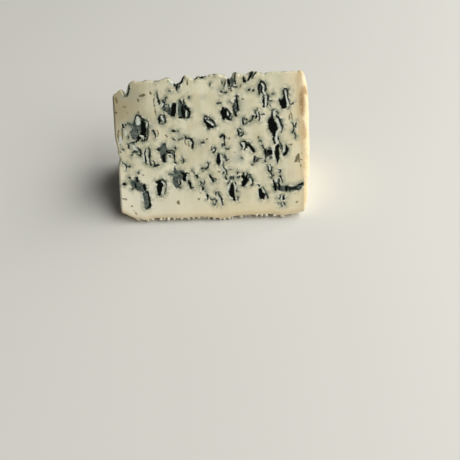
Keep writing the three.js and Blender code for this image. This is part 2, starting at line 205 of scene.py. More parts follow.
def tip_height(along):
    """The ridge: an even climb less the broken corner, its swells, less large and small bites."""
    climb = TIP_AT_CUT + (TIP_AT_ROUND - TIP_AT_CUT) * along / FACE_LENGTH
    line = climb - CHIP_DROP * (1 - smooth(along / CHIP_REACH)) + swell(TIP_SWELLS, along)
    bites = sum(share * smooth(common + noise(along, 0 * along, size, seed))
                for share, size, seed, common in TIP_BITES)
    return line - TIP_RAGGED * bites


def cut_out(up):
    """How far the cut end stands out at a height up the front face: a smooth step and its dent."""
    step = smooth((up - CUT_STEP_FROM) / (CUT_STEP_TO - CUT_STEP_FROM))
    return CUT_OUT * step + swell(CUT_SWELLS, up)


def end_out(up):
    """How far the rounded end stands out there: its bulge, less the fall times the cube of t."""
    reach = np.where(up > END_MIDDLE, END_TOP - END_MIDDLE, END_MIDDLE)
    t = np.clip(np.abs(up - END_MIDDLE) / reach, 0, 1)
    return END_BULGE - END_FALL * t ** 3 + swell(END_SWELLS, up)


for name, line in (("ridge", tip_height), ("foot edge", foot_height)):
    heights = line(np.arange(FACE_LENGTH + 1))
    print(name, "lies", np.round([heights.min(), heights.max()], 1), "mm up the front face")

# %% Sections as arrays
# Corners in order: front foot, front and back of the rest, back foot, back and front of the tip
CORNER_ROUNDS = [1.6, 9, 5, 3.5, 0.9, 0.9]  # how far from a corner its curve starts
CORNER_REACH = 0.45            # but it takes no more than this share of a side
CORNER_STEPS = [6, 6, 4, 6, 3, 3]           # how many steps a corner's curve is split into
SIDE_STEPS = [3, 10, 3, 54, 5, 196]         # and how many the side that follows it


def tip_back(tip_y, tip_z):
    """Back edge of the ridge, on the flat back face: what a low ridge has lost in height is also
    lost behind it, so the break falls to the back."""
    broken = np.clip(BASE_DEPTH + BACK_SLOPE * (tip_z - BACK_LIFT) - tip_y - TIP_THICKNESS, 0, None)
    z = tip_z - TIP_DROP - broken
    return BASE_DEPTH + BACK_SLOPE * (z - BACK_LIFT), z


def section_corners(along):
    """Six corners (y, z) of the section at each place along the piece."""
    foot, tip = foot_height(along), tip_height(along)
    same = np.ones_like(along)
    tip_y, tip_z = tip * FACE_UP[1], FRONT_LIFT + tip * FACE_UP[2]
    corners = [
        (foot * FACE_UP[1], FRONT_LIFT + foot * FACE_UP[2]),
        (REST_FROM * same, 0 * same),
        (REST_TO * same, 0 * same),
        (BASE_DEPTH * same, BACK_LIFT * same),
        tip_back(tip_y, tip_z),
        (tip_y, tip_z),
    ]
    return np.moveaxis(np.array(corners), 2, 0)


def section_loops(along):
    """Closed loops, one a place: each corner a quadratic curve, each side split evenly."""
    corners = section_corners(along)
    before, after = np.roll(corners, 1, axis=1), np.roll(corners, -1, axis=1)
    to_before = np.linalg.norm(before - corners, axis=2)
    to_after = np.linalg.norm(after - corners, axis=2)
    reach = np.minimum(np.array(CORNER_ROUNDS), CORNER_REACH * np.minimum(to_before, to_after))
    start = corners + (before - corners) * (reach / to_before)[..., None]
    end = corners + (after - corners) * (reach / to_after)[..., None]
    next_start = np.roll(start, -1, axis=1)
    stretches = []
    for k, (corner_steps, side_steps) in enumerate(zip(CORNER_STEPS, SIDE_STEPS)):
        t = np.linspace(0, 1, corner_steps + 1)[None, :, None]
        bend = (1 - t) ** 2 * start[:, k, None] + 2 * t * (1 - t) * corners[:, k, None]
        stretches.append(bend + t ** 2 * end[:, k, None])
        t = np.arange(1, side_steps)[None, :, None] / side_steps
        stretches.append(end[:, k, None] * (1 - t) + next_start[:, k, None] * t)
    return np.concatenate(stretches, axis=1)


def section_middles(along):
    """Middle of the circle that fits between front face, foot and back face: the corners' average,
    each weighted by the length of the side opposite."""
    corners = section_corners(along)
    front, back, tip = corners[:, 0], corners[:, 3], corners[:, 5]
    weights = [np.linalg.norm(p - q, axis=1) for p, q in ((back, tip), (front, tip), (front, back))]
    total = sum(weights)[:, None]
    return sum(w[:, None] * p for w, p in zip(weights, (front, back, tip))) / total


print("points round the section:", sum(CORNER_STEPS) + sum(SIDE_STEPS))

# %% [markdown]
# ## The skin
# The skin is one closed surface: rows of sections along the piece, with both ends drawn in ring by
# ring to a middle point. One surface is right here because rind and paste are one body. The front
# gets a point every third of a millimetre, about as fine as the smallest tooth of a hollow's edge,
# and the unseen faces get fewer, which keeps the whole under 200 000 triangles.

# %% Rows along the piece
FRONT_ROWS = 246
LEFT_RINGS, RIGHT_RINGS = 40, 20
ROUND_STEPS = 8                # rows round the edge of the rounded end
ROUND_SHARES = np.sin(np.linspace(0, math.pi / 2, ROUND_STEPS + 1))[1:]


def rows_along():
    """Of each row: its place along the face, its share of the rounded end's bulge, and its inset."""
    cut = [(0, 0, INSET_RADIUS - (INSET_RADIUS - CUT_EDGE) * k / LEFT_RINGS)
           for k in range(1, LEFT_RINGS + 1)]
    face = [(x, 0, 0) for x in np.linspace(CUT_EDGE, FACE_LENGTH, FRONT_ROWS)]
    edge = [(FACE_LENGTH, s, END_ROUND_DEPTH * (1 - math.sqrt(1 - s * s))) for s in ROUND_SHARES]
    deep = INSET_RADIUS - END_ROUND_DEPTH
    end = [(FACE_LENGTH, 1, END_ROUND_DEPTH + deep * k / RIGHT_RINGS) for k in range(1, RIGHT_RINGS)]
    return np.array(cut + face + edge + end).T


def wave(x, y, z):
    """Slow unevenness between -1 and 1: crossed sine waves, their sum over the sum of strengths."""
    return sum(s * np.sin(a * x + b * y + c * z + phase) for a, b, c, phase, s in WAVES) / WAVES[:, 4].sum()


def place_along(along, past, z):
    """Place along the piece of a point at height z, moved out by the outline of the end it is near."""
    up = (z - FRONT_LIFT) / FACE_UP[2]
    near_cut = np.clip(1 - along / CUT_FADE, 0, 1)
    return along + past * end_out(up) - near_cut * cut_out(up)


def skin():
    """Points (row, column, xyz): section points drawn towards the middle, then moved by the wave."""
    along, past, inset = rows_along()
    loops, middles = section_loops(along), section_middles(along)[:, None]
    flat = middles + (loops - middles) * (1 - inset / INSET_RADIUS)[:, None, None]
    away = (loops - middles) / np.linalg.norm(loops - middles, axis=2, keepdims=True)
    along, past = along[:, None], past[:, None]
    height = WAVE_HEIGHT * wave(along, flat[..., 0], flat[..., 1])
    on_end = np.where(inset[:, None] > CUT_EDGE, np.sign(along - FACE_LENGTH / 2), 0)
    side = (1 - np.abs(on_end)) * height * np.clip(flat[..., 1] / FRONT_LIFT, 0, 1)
    return np.stack([place_along(along, past, flat[..., 1]) + on_end * height,
                     flat[..., 0] + away[..., 0] * side, flat[..., 1] + away[..., 1] * side], axis=2)


points = skin()
pole_along, pole_past = np.array([0, FACE_LENGTH]), np.array([0, 1])
pole_yz = section_middles(pole_along)
poles = np.column_stack([place_along(pole_along, pole_past, pole_yz[:, 1]), pole_yz])
print("skin:", points.shape[0], "rows of", points.shape[1], "points")

# %% [markdown]
# ## Marks as brush strokes
# Every mark on a cut face is a **stroke**: a line through a few points, each with its own half width.
# A round hollow is a stroke of one or two wide points, a slit is a thin one, and a ring is a bent one.
# The signed distance to a stroke is the distance to its line less the half width there, negative
# inside. One distance does three jobs: it presses the hollow into the mesh, it tells the material
# where mould starts, and noise added to it makes the outline ragged.
#
# The kinds are *pit*, deep, dark with mould and with painted shade of the recess, *slate*, a shallow
# hollow furred with grey-blue mould, *curl*, a pale ridge of paste dragged by the knife, its grey-white
# made brighter as a painted highlight, *stain*, an olive or brown spot, *haze*, mould just under the
# surface, and *rust*, a brown line in the rind. Points are (along, up the face, half width).

# %% The brush
FRONT = {"pit": [], "slate": [], "curl": [], "stain": [], "haze": [], "rust": []}


def draw(kind, *strokes):
    """Adds strokes of one kind to the front face."""
    FRONT[kind].extend(strokes)
    print(kind + ":", len(strokes), "strokes more,", len(FRONT[kind]), "so far")


# %% Front face, left third: the notch in the cut-back corner, and the gash with two arms in the ridge
draw("pit", [(7.2, 65.3, .5), (7.1, 63.5, .45), (6.6, 61.5, .4), (5.6, 60.1, .5), (4.8, 60.2, .45)],
     [(27.5, 68.8, .35), (28.7, 66.6, .35), (29.8, 64.4, .55)],
     [(34.2, 68.5, .45), (33, 66.4, .55), (31.4, 65.2, .4)],
     [(31, 65.4, .5), (30.4, 63.4, .6), (30.4, 62.2, .35)], [(31.6, 64.2, .3), (31.4, 63.4, .25)],
     [(20.3, 67, .45), (21.3, 67.4, .4), (21.8, 67.8, .3)], [(26.5, 62.2, .3), (27.2, 62.2, .3)],
     [(36.2, 59.3, .4), (36.2, 58.4, .4)])
draw("curl", [(5.6, 63.8, .6), (5.7, 62, .5)], [(28, 66.6, .35), (28.7, 64.4, .3)],
     [(27.2, 67.2, .3), (27.6, 65.2, .25)])
draw("stain", [(35.6, 67, .35), (35.4, 65.2, .4)], [(12.6, 60.1, .4), (14.3, 60.4, .6)],
     [(11.6, 58.3, .5), (11.6, 57.6, .35)], [(17.4, 61.8, .4), (17.4, 61.1, .4)],
     [(4, 55, .4), (4.9, 55, .4)], [(5.6, 52.2, .45)], [(19.5, 52.2, .4)], [(11.2, 52.3, .5)],
     [(.4, 52.4, .5)], [(19.3, 61, .15), (19.1, 56, .2), (19.6, 51, .15)], [(26.6, 66.8, .25)])
draw("haze", [(8, 59.4, 1)], [(11.5, 60, 1.6), (13, 59, 1.2)], [(26, 55, 2.2)], [(8, 47, 2)],
     [(43, 59, .6)])

# %% The black thread and the net of mould under it
draw("pit", [(20.4, 61.3, .4), (21, 60, .5), (21.3, 57.8, .45), (21.6, 56, .6)],
     [(25, 59.4, .35), (24.8, 57.6, .35)], [(22.6, 58, .3), (23.6, 56.9, .3), (24.4, 56.2, .25)],
     [(23.2, 54.2, .4), (24, 55, .3), (25.2, 56, .25)], [(24.3, 53.4, .3), (25.2, 52.4, .3)],
     [(23.6, 52, .3)], [(21.4, 50.4, .5), (21.3, 48.8, .7), (21.8, 47, .6)],
     [(22.2, 51.1, .35), (23.8, 50.4, .4), (24.4, 48.8, .45), (24, 47.2, .45), (23, 46.3, .4)])
draw("curl", [(23.3, 56.2, .3), (22.8, 54.6, .35)], [(24.6, 55, .3)], [(19.9, 60, .2), (20, 55, .25)],
     [(22.5, 50.4, .35), (22.7, 49, .45), (23.2, 48.2, .35)], [(21.9, 47, .25)])
draw("slate", [(23.6, 57.4, .8), (24, 53.6, .9)], [(22.9, 48.8, 1.2)])

# %% Two hollows side by side, the right one with horns
draw("pit", [(28.9, 55.6, .7), (28.5, 53.4, 1.3), (28.1, 51.3, 1.3)],
     [(27.2, 50.6, .7), (28.4, 50.2, .5)], [(29.7, 55.7, .45), (29.4, 52, .6)],
     [(31.7, 57.6, .35), (31.9, 56.2, .5)], [(33.6, 57.9, .35), (33.6, 56, .5)],
     [(33.1, 55, .7), (33, 53, 1), (33.4, 50.8, .9), (33.7, 49.2, .9)],
     [(34.4, 54, .7), (35.6, 53.4, .7), (36.5, 51.8, .6), (36, 50, .5), (35.2, 48.6, .5)],
     [(31.3, 49.3, .5), (32.4, 49, .5)])
draw("slate", [(26.4, 55.4, .6), (26.2, 53.4, 1), (26.3, 51.4, .9)],
     [(31.9, 56.5, .8), (31.9, 54, 1.2), (32, 51.5, 1.2), (32.4, 49.6, .9)],
     [(34.4, 54.6, .9), (35, 50.6, 1)])
draw("curl", [(27, 55.7, .45), (27.2, 54.6, .35)], [(34.8, 52.4, .3), (34.5, 50.9, .4), (34.6, 49.9, .3)],
     [(30.3, 55.4, .3), (30.2, 51.4, .3)])

# %% The great patch near the cut end: slate to the left, black to the right, a pale tongue from above
draw("pit", [(12.9, 48, .6), (13.4, 46, 1.1), (13.6, 43.6, 1.5), (12.4, 41.9, 1.2), (13.8, 40.8, 1)],
     [(10.3, 50.9, .6), (9.3, 49.2, .45), (9.1, 47.2, .45)],
     [(11.2, 51, .45), (12.6, 49.4, .6), (14.1, 48.6, .6)],
     [(15.2, 48.4, .4), (16.1, 46.6, .4), (15.7, 44, .35), (15.3, 41.2, .4), (14.8, 39.3, .45)],
     [(5.4, 41.1, .5), (5.8, 39.9, .5)], [(3.1, 46.8, .45), (3.6, 45.3, .65)],
     [(2.8, 44.2, .4), (3, 43.6, .3)], [(4.7, 46.4, .45)], [(6, 47.1, .5), (7, 47, .4)],
     [(6.4, 37.3, .4), (8.4, 38, .5)], [(9.5, 38.1, .5), (10.6, 38.8, .6)],
     [(12.6, 38.7, .7), (14, 39, .55)], [(10.6, 40.2, .9), (11.2, 39.4, .6)])
draw("slate", [(9.4, 45.4, 2), (8.8, 43, 2), (9, 41, 1.9), (10.4, 40.2, 1.5)], [(7, 46.2, .8)],
     [(12.8, 46.8, 1.8), (13, 42.4, 2)])
draw("curl", [(10.6, 50.1, .4), (10.9, 48.6, .75), (11, 47.1, 1)], [(11.5, 41, .4), (12.9, 40.5, .5)],
     [(15.2, 47.4, .3), (15.1, 45.8, .4)], [(13.1, 39.1, .3)], [(3.7, 47.3, .4)],
     [(4.6, 43.4, .6), (4.4, 41.4, .5)], [(3.8, 44.6, .25)])
draw("haze", [(5, 45, 1.6)], [(17.6, 45, 1.2)], [(19.2, 46.9, .8)], [(7.4, 38, 1.2)])

# %% Small slits, spots and the ring group near the cut end
draw("pit", [(17.8, 43.3, .35), (18.5, 41.8, .4), (19, 40.9, .5), (18.8, 39.8, .35)],
     [(2.9, 34.7, .45), (3.3, 34.4, .4)], [(5.5, 36.9, .35), (5.7, 35.4, .55)],
     [(10.2, 35, .4), (10.9, 34, .5), (11.2, 32.2, .55)], [(9.8, 31.7, .4), (11.2, 31.5, .5)],
     [(7.8, 33.2, .5), (9.4, 33, .45)], [(6.7, 31.5, .4), (7.4, 31.8, .4)],
     [(1.9, 28.3, .35), (3.2, 27.6, .4), (3.9, 26.3, .4), (4.1, 25.3, .5)],
     [(4.6, 26, .35), (5.8, 26.1, .45)], [(9.5, 22.9, .45), (10.2, 23.1, .35)],
     [(5, 20.9, .4), (5.2, 19.9, .4)], [(2.1, 17.8, .7), (2.7, 17.6, .6)])
draw("pit", [(13.9, 34.6, .4), (13.5, 32.4, .5), (13.3, 30.8, .6), (13.6, 28.6, .55), (13.8, 27.4, .4)],
     [(15.4, 35.1, .4), (16, 33.6, .4), (15.9, 31, .55), (15.6, 28.8, .35), (16.1, 26.2, .45)],
     [(17.4, 28.3, .35), (17.8, 26.2, .55)], [(18.2, 25.7, .5), (19.2, 26.3, .6), (20.2, 26.3, .4)])
draw("slate", [(9.4, 34.2, 1)], [(8, 37, .7)], [(14.9, 31, .4)])
draw("curl", [(7.8, 36.2, .5), (8.4, 34.8, .55), (9.6, 34.1, .35)],
     [(14.2, 34.2, .25), (14.4, 31, .3), (14.6, 27.8, .3)],
     [(12.9, 33.6, .25), (12.6, 30.6, .35), (12.9, 28.2, .25)], [(2.4, 27.3, .3), (3, 26.4, .35)],
     [(1.4, 37.4, .35), (1.9, 41.2, .35)], [(2.4, 36.4, .3), (2.3, 40.6, .3)])
draw("stain", [(12, 21.8, .4)], [(1.2, 10.3, .3), (3.1, 9.6, .3)], [(5.6, 6.3, .4)], [(6.2, 3.8, .3)],
     [(7.1, 2.8, .4)], [(.8, 59.6, .25), (.9, 57, .3)], [(.9, 43.6, .25), (1, 39, .3)],
     [(2.9, 43, .3), (2.9, 40, .3)], [(1.4, 38.6, .2), (1.9, 36.4, .25)],
     [(24, 41, .35), (24.8, 40, .35)], [(20, 43.2, .25), (20.7, 42, .25), (20.2, 40.8, .2)],
     [(1, 33.8, .3), (1.6, 33.2, .3)])

# %% The slate patch with a leg, and the black drop beside it
draw("slate", [(6.2, 18.4, 1.2), (7.4, 17.6, 1.9), (8.4, 16.8, 2), (10.4, 15.6, 1.9), (12, 14, 1.2)],
     [(8.4, 20.2, .9)], [(12.6, 12.5, 1.3), (12.8, 9.5, 1.4), (12.9, 7, 1.3), (12.8, 5.6, .8)])
draw("pit", [(8.9, 20.6, .6), (9, 18.8, .8)], [(7.8, 17.6, .5), (8, 16, .5)],
     [(12.2, 16.8, .8), (12.7, 15, .7), (12.8, 13.8, .5)], [(6.4, 14.8, .45), (7.2, 15.2, .4)],
     [(13.6, 13.4, .5), (14.2, 12.4, .55), (14.6, 9.6, .6), (14.6, 7.8, .5), (14.6, 6, .55),
      (13.4, 5.8, .5)], [(12.7, 5, .35)], [(18.5, 18.2, .8), (20.2, 18.4, 1)],
     [(20.3, 17.4, 1.6), (20, 15, 1.5), (19.8, 13, 1), (19.5, 11.4, .6)],
     [(21, 19.3, .35), (22.5, 18.5, .35), (23.4, 16.8, .35), (23, 14.4, .3), (22, 12.2, .25)],
     [(20.4, 10.5, .3)])
draw("curl", [(14.9, 13.4, .35), (15.1, 11.8, .4)], [(10.5, 12.6, .35), (11.3, 10, .35), (11.2, 8.4, .3)],
     [(17.3, 15.7, .5), (17.9, 13.9, .35)], [(21.1, 18.2, .35), (22.2, 17.1, .4)],
     [(21.6, 15.2, .45), (21.2, 13.4, .45), (20.6, 12.2, .3)])

# %% The star, its arm, and the slate patch with a tip
draw("pit", [(22.7, 31, .9), (22.9, 28.8, .9), (22.9, 27.6, .6)], [(20.2, 34.8, .4), (20.5, 33.4, .5)],
     [(24.1, 33, .6), (24.6, 31.9, .5), (25.5, 32.2, .6)], [(23, 36.8, .4), (23.7, 37.2, .25)],
     [(25.8, 33.2, .4), (27, 33.4, .4), (27.8, 33, .35), (27.8, 31, .4), (27.9, 28.6, .5)],
     [(27.8, 27.4, .6), (28.6, 27, .45)], [(28.5, 34.8, .35), (28.8, 33.8, .35)],
     [(25.2, 30.8, .3), (26.3, 30.3, .25)],
     [(30.8, 30, .3), (31.9, 29.2, .4), (32.4, 28, .4), (32, 27.3, .3)], [(31, 28.4, .35)],
     [(27.8, 43, .6), (28.3, 42.6, .5)], [(28, 38.8, .5), (28.6, 38.6, .35)],
     [(33.5, 40.6, .3), (34.1, 39.3, .65)],
     [(35.2, 39.2, .4), (36.6, 38.2, .55), (37.4, 36.8, .55), (37.1, 35.2, .5), (36.6, 34.2, .35)],
     [(29.6, 38.5, .15), (33, 39.2, .2)])
draw("slate", [(23.3, 36.4, .9), (22.8, 35, 1.7), (22.5, 32.2, 1.7), (22.8, 28.4, 1.3)],
     [(20.2, 34.2, .9), (21.6, 34, 1)], [(24, 33.6, 1.1), (25.4, 32.2, .9)], [(26.9, 32, .8)],
     [(27.9, 24.8, .4), (28, 23.6, .8), (28.4, 22, 1.3), (28.2, 19.5, 1.4), (28, 17.4, 1.3),
      (28.3, 15.8, 1)], [(24.6, 21.7, .4), (26.6, 21.5, .6)], [(30.4, 22.9, .9), (31.6, 22.4, 1)],
     [(30.9, 20, 1)], [(36.5, 14.6, .5)], [(30.4, 42.4, .5)])
draw("pit", [(31.6, 22.2, .7), (32.4, 20.8, 1.1), (32.2, 19, .9)], [(33.2, 21.7, .5), (34.9, 21.5, .25)],
     [(30, 21.5, .3), (30.2, 18.6, .35), (29.8, 16.6, .45), (29.2, 15.3, .4)], [(27.6, 15.2, .4)],
     [(30, 15, .4), (30.9, 15.5, .3)], [(34.4, 18, .55), (34.8, 16.8, .65), (35.4, 14.7, .55)],
     [(38.2, 20.9, .45), (39.2, 19.7, .5)], [(36.2, 23.4, .25), (37.4, 22, .2)])
draw("curl", [(25.3, 29.2, .6), (25.6, 28.2, .4)], [(30.5, 29.2, .3)], [(34, 38, .35), (34.3, 36.6, .3)],
     [(36.2, 37.2, .35), (36.3, 35.8, .25)], [(33.7, 20.1, .35), (33.3, 18.8, .3)], [(34.2, 14.6, .3)])
draw("stain", [(28.7, 7.7, .55), (28.7, 7.1, .5)], [(39.4, 8.9, .4)], [(33.2, 38.2, .3), (33.7, 36, .25)],
     [(34.9, 37.6, .2), (35.5, 35, .25)], [(30.2, 38.5, .35), (31.2, 38.6, .3)])
draw("haze", [(27, 36, 1.4)], [(31, 41, 1)], [(26, 43, 1)], [(32, 16.4, .8)])

# %% Front face, middle third
draw("pit", [(41.6, 36.7, .6), (42.5, 36.7, .5)], [(41, 24, .45), (42, 24, .35)],
     [(42.6, 23.6, .4), (43.8, 23.9, .45), (44.4, 25.4, .5), (44.3, 27, .4)], [(42, 22.6, .25)],
     [(39.8, 17.4, .4), (40.5, 16.4, .3), (40, 15.6, .25)], [(42.4, 17.7, .45), (42, 16.2, .3)],
     [(41.2, 15.4, .35), (41.7, 14.2, .6), (41, 13.3, .45)], [(42.6, 12.8, .35)],
     [(43.4, 11, .4), (43.6, 9.8, .55), (43.4, 8.8, .4)],
     [(45.3, 20.5, .5), (46.1, 18.9, .65), (46.6, 17.5, .55)], [(47.5, 18.4, .35), (48.2, 17.8, .3)],
     [(47.9, 12, .35), (47.9, 10.4, .35)],
     [(49.1, 11.9, .3), (49.2, 10.6, .5), (50.2, 8.9, .35), (50.4, 8, .5), (50.6, 7, .4), (50.9, 6, .5)])
draw("pit",
     [(44.8, 8.8, .3), (45.8, 8.2, .35), (46.9, 8.6, .3), (48, 7.6, .3), (47.9, 6.4, .3), (47, 5.7, .3),
      (46, 6.6, .25), (45.9, 7.8, .25)],
     [(56, 15.9, .6), (55.9, 14.2, 1.2), (55.6, 12, 1.5), (55.8, 10.2, 1.5), (56.6, 8.6, .9),
      (57.1, 7.4, .4)], [(58.3, 13.3, .35), (58.5, 11.8, .35)], [(58.6, 9.4, .35), (58.5, 7.8, .3)],
     [(53, 19.6, .4), (53.5, 18.2, .5)], [(54.7, 17.3, .35), (54, 15.9, .4)],
     [(56.8, 19.6, .45), (56.8, 18.4, .45)], [(57.5, 16.7, .4), (58, 15.6, .45)],
     [(59.1, 21.4, .5), (59, 20.6, .35)])
draw("slate", [(40.6, 16.8, .5)], [(59.2, 18.9, .7), (60, 19.4, .4)], [(55.6, 19, .9)],
     [(41.6, 16.6, .5)], [(47.2, 17.6, .5)])
draw("curl", [(43.5, 25.2, .35), (43.8, 26, .35)], [(44.9, 18.8, .3), (45.6, 17.4, .3)],
     [(48.8, 9.8, .3), (49.6, 7.8, .35), (50, 6.2, .25)],
     [(54.6, 15.4, .35), (53.7, 13.8, .35), (53.4, 12, .4), (53.5, 10.6, .3)],
     [(54.5, 9.4, .35), (55.8, 8.4, .4)], [(57.4, 14.6, .3), (57.7, 13, .3)],
     [(55.7, 17.6, .35), (55.7, 16.8, .3)], [(46.9, 7.2, .4)])
draw("stain", [(44.1, 38.4, .5)], [(40, 12, .35)], [(48, 4.6, .35)])

# %% The twin hollow with a white foot, and the drop with a tail
draw("pit", [(61.6, 19.2, .9), (62.8, 18.4, 1.2), (62.9, 17, 1.1), (61.8, 15.4, 1.2), (61.1, 15, .7)],
     [(63.7, 19.4, .7), (64, 17.6, .6)], [(61.9, 21.2, .3), (62, 20.2, .4)],
     [(63.8, 21.1, .35), (63.9, 20, .45)],
     [(65.8, 19, .35), (66.6, 17.4, .4), (66.6, 15.8, .35), (65.5, 14.7, .3)],
     [(49.8, 31, .4), (49.6, 29.4, .95), (49.6, 27.8, 1.2), (49.5, 26.2, .8), (49.5, 25.2, .35)],
     [(48.3, 30.3, .25)], [(51.4, 31, .4), (51.2, 30.2, .35)],
     [(52.8, 30.6, .3), (53.2, 29.4, .35), (52.8, 28.6, .35)], [(53.2, 27.4, .4), (54.4, 28, .4)],
     [(51.9, 26.8, .3), (51.6, 25.4, .3), (52.2, 24, .4), (53.1, 22.8, .4), (53.5, 20.6, .35)],
     [(52, 22.2, .35), (52, 21.4, .45)], [(54.9, 23.2, .45), (55.7, 23.3, .35)])
draw("pit", [(46.6, 33.2, .45)],
     [(46.4, 34.5, .25), (48.1, 34.1, .4), (48.5, 32.9, .4), (47.7, 31.9, .4), (46.6, 31.8, .3)],
     [(51, 39.3, .6), (51.6, 40.3, .5), (52.6, 40.2, .45), (52.7, 39, .55), (52.6, 37.4, .4),
      (53, 36, .4), (53.1, 35, .5)], [(51.6, 34.8, .35), (52.6, 35, .35)],
     [(53.8, 33.4, .5), (54.8, 33.5, .45)])
draw("slate", [(52.9, 29.8, .7), (53.2, 28.2, .6)], [(52, 35.6, .6)], [(61.4, 28.4, .6)],
     [(52, 39.6, .7)], [(65, 20, .7), (65.2, 18.4, .6)])
draw("curl", [(63.6, 15.1, .55)], [(65.2, 18, .4), (65.5, 16.4, .4)],
     [(50.8, 30.6, .3), (51.3, 28.8, .4), (51, 27, .35), (50.7, 25.6, .3)],
     [(51.2, 24.4, .3), (52.4, 22.6, .3)], [(47.3, 33, .35)], [(62.9, 20.7, .3)], [(52.8, 21.4, .3)])
draw("haze", [(58.3, 28.4, 1.6)], [(59.6, 30, 1.2)], [(53.5, 30, 1.2)], [(40, 36.9, 1)])
draw("stain", [(55.3, 38.1, .5)], [(49.8, 22.1, .4)], [(58, 31.4, .35)])

# %% Small hollows round the middle
draw("pit", [(59.9, 42.8, .4), (60, 41.4, .6), (60, 39.9, .55)], [(60.6, 43.2, .3), (61.4, 42.6, .4)],
     [(62.3, 41, .35), (62.4, 40, .4), (61.5, 39.3, .4), (60.6, 39.4, .35)],
     [(61.3, 36.2, .4), (61.3, 34.6, .65), (61.4, 33.3, .45)],
     [(61.8, 36.9, .35), (63, 36.8, .5), (63.7, 35.4, .55), (63.5, 33.6, .5), (63, 32.5, .4)],
     [(64.2, 35, .6), (65.3, 35.1, .6), (66, 33.8, .8), (67, 32.4, .8), (67.4, 31.3, .5)],
     [(43.2, 48.4, .6), (44, 47, .9), (44.9, 45.6, .9), (46, 44.6, 1.1), (47, 44.2, .7)],
     [(43.8, 49.5, .45), (44.8, 49.4, .4)],
     [(45.9, 49.1, .4), (47, 47.7, .4), (48.6, 46.2, .45), (49.1, 44.8, .4)],
     [(45.2, 43.6, .4), (46.2, 43, .35)],
     [(52.8, 53.2, .6), (52.5, 52, .9), (53, 50.4, 1.2), (52.9, 48.6, 1.2)],
     [(53.9, 52.4, .7), (54, 50.6, .8), (54.6, 48.6, .8), (55.5, 47.7, .7), (56.4, 47.2, .5)],
     [(54.3, 53, .4), (55.5, 51.9, .4), (56.4, 50.4, .6), (56, 49.6, .5)],
     [(57.1, 49.6, .3), (57, 47.8, .4)])
draw("slate", [(45.4, 48.2, 1), (48.2, 45, .9)], [(54.6, 51.2, 1.2), (55.6, 48.8, 1)],
     [(59.2, 56.6, .8), (59, 54, 1.3), (59, 51.6, 1.2)], [(61.2, 41, .7)], [(62.6, 34.6, .8)],
     [(64.6, 35.8, .6)])
draw("curl", [(61, 41.9, .35)], [(61.2, 40.2, .35)], [(58.7, 42, .25), (58.9, 40.5, .25)],
     [(62.2, 36, .4), (62.5, 34.6, .5), (62.4, 33.2, .3)], [(64.8, 33.4, .4), (65.1, 32.6, .35)],
     [(44.9, 47.3, .35), (46.1, 46.4, .45), (47.5, 45.3, .4)], [(45.5, 48.4, .3)],
     [(54.8, 51.2, .35), (55.1, 50, .45)], [(56.4, 48.6, .35)], [(53.7, 47.8, .3)], [(56.6, 52.4, .45)])
draw("pit", [(59.4, 58.6, .5), (59.6, 56.6, .6), (60, 54, .6), (60.4, 52.2, .55)],
     [(57.9, 54.8, .5), (57.6, 53, .45), (58, 51.4, .7), (58.8, 50.2, .7), (59.4, 49.4, .45)],
     [(59.4, 59.3, .35), (60.8, 58.8, .3)], [(50.3, 55.6, .45), (51.6, 55.6, .5)],
     [(56.3, 55.7, .4), (56.8, 55.6, .35)], [(62.2, 48, .4), (62.2, 46.6, .5), (62.6, 45.3, .55)],
     [(62.9, 48.2, .3), (63.7, 47.2, .35), (64.6, 47, .4)], [(63.6, 45.4, .3), (64.2, 45.8, .25)],
     [(65.4, 46, .35), (66.6, 46.8, .35), (67.3, 48.6, .45)])
draw("curl", [(63.2, 46.3, .35)], [(61.6, 47.8, .25), (61.6, 45.4, .25)], [(52.4, 55.2, .3)])
draw("stain", [(62.8, 57.3, .5)], [(61.5, 64.2, .25), (61.7, 63, .35)], [(62.3, 64, .2)],
     [(69.5, 52.5, .4)], [(57, 61.6, .5)])
draw("haze", [(62, 55, 1)], [(57, 66, 1.6)], [(51, 62, 1)])

# %% The teeth in the ridge
draw("pit", [(55.6, 68.4, .3), (55.8, 66.6, .75), (56, 65, .8), (56, 63.8, .5)],
     [(55.9, 62.6, .4), (56.8, 62.5, .35)],
     [(59.1, 70.7, .5), (59.1, 68.6, .4), (58.7, 66.6, .45), (59, 64.9, .5)],
     [(57.2, 63.5, .4), (58.6, 63.2, .5), (60, 63, .4)], [(57.8, 66.8, .35), (58.2, 65.4, .3)],
     [(52.3, 66.2, .3), (52.6, 64.8, .4)], [(54, 66.5, .25), (54, 64.8, .3), (53.5, 63.4, .3)],
     [(51.9, 61.2, .45), (52.4, 60.5, .45)], [(53.6, 60.7, .35), (54.8, 60.5, .45)], [(53, 62.6, .25)],
     [(63.5, 67.2, .5), (63.7, 65.8, .75), (64, 65.2, .4)],
     [(65.3, 66.2, .5), (66.2, 67.6, .55), (67.6, 69.9, .6)],
     [(67, 66.8, .25), (68.2, 68.4, .4), (69.4, 70.4, .35)], [(65.2, 61.4, .45), (66.3, 61.8, .5)],
     [(67.6, 61.5, .5), (68.2, 61.4, .4)])
draw("pit", [(39.3, 67.7, .45), (40.4, 67.8, .45)],
     [(41.4, 68.6, .35), (42.6, 68, .7), (43.6, 68.4, .5), (44.8, 69, .35)], [(48.9, 69.5, .45)],
     [(46.9, 64.9, .5), (46.9, 64.3, .4)])
draw("slate", [(57.4, 67, .8), (57.4, 64.8, .7)], [(67, 68.4, .8)], [(42, 68.4, .5)])
draw("curl", [(54.6, 64, .5), (54.4, 62.3, .4)], [(64.4, 69, .45), (63.6, 70, .4)], [(65.4, 67.9, .35)],
     [(57.4, 67.6, .35)], [(51, 69, .3), (51.8, 69.4, .3)], [(54.8, 69.2, .3), (55, 67.4, .3)])

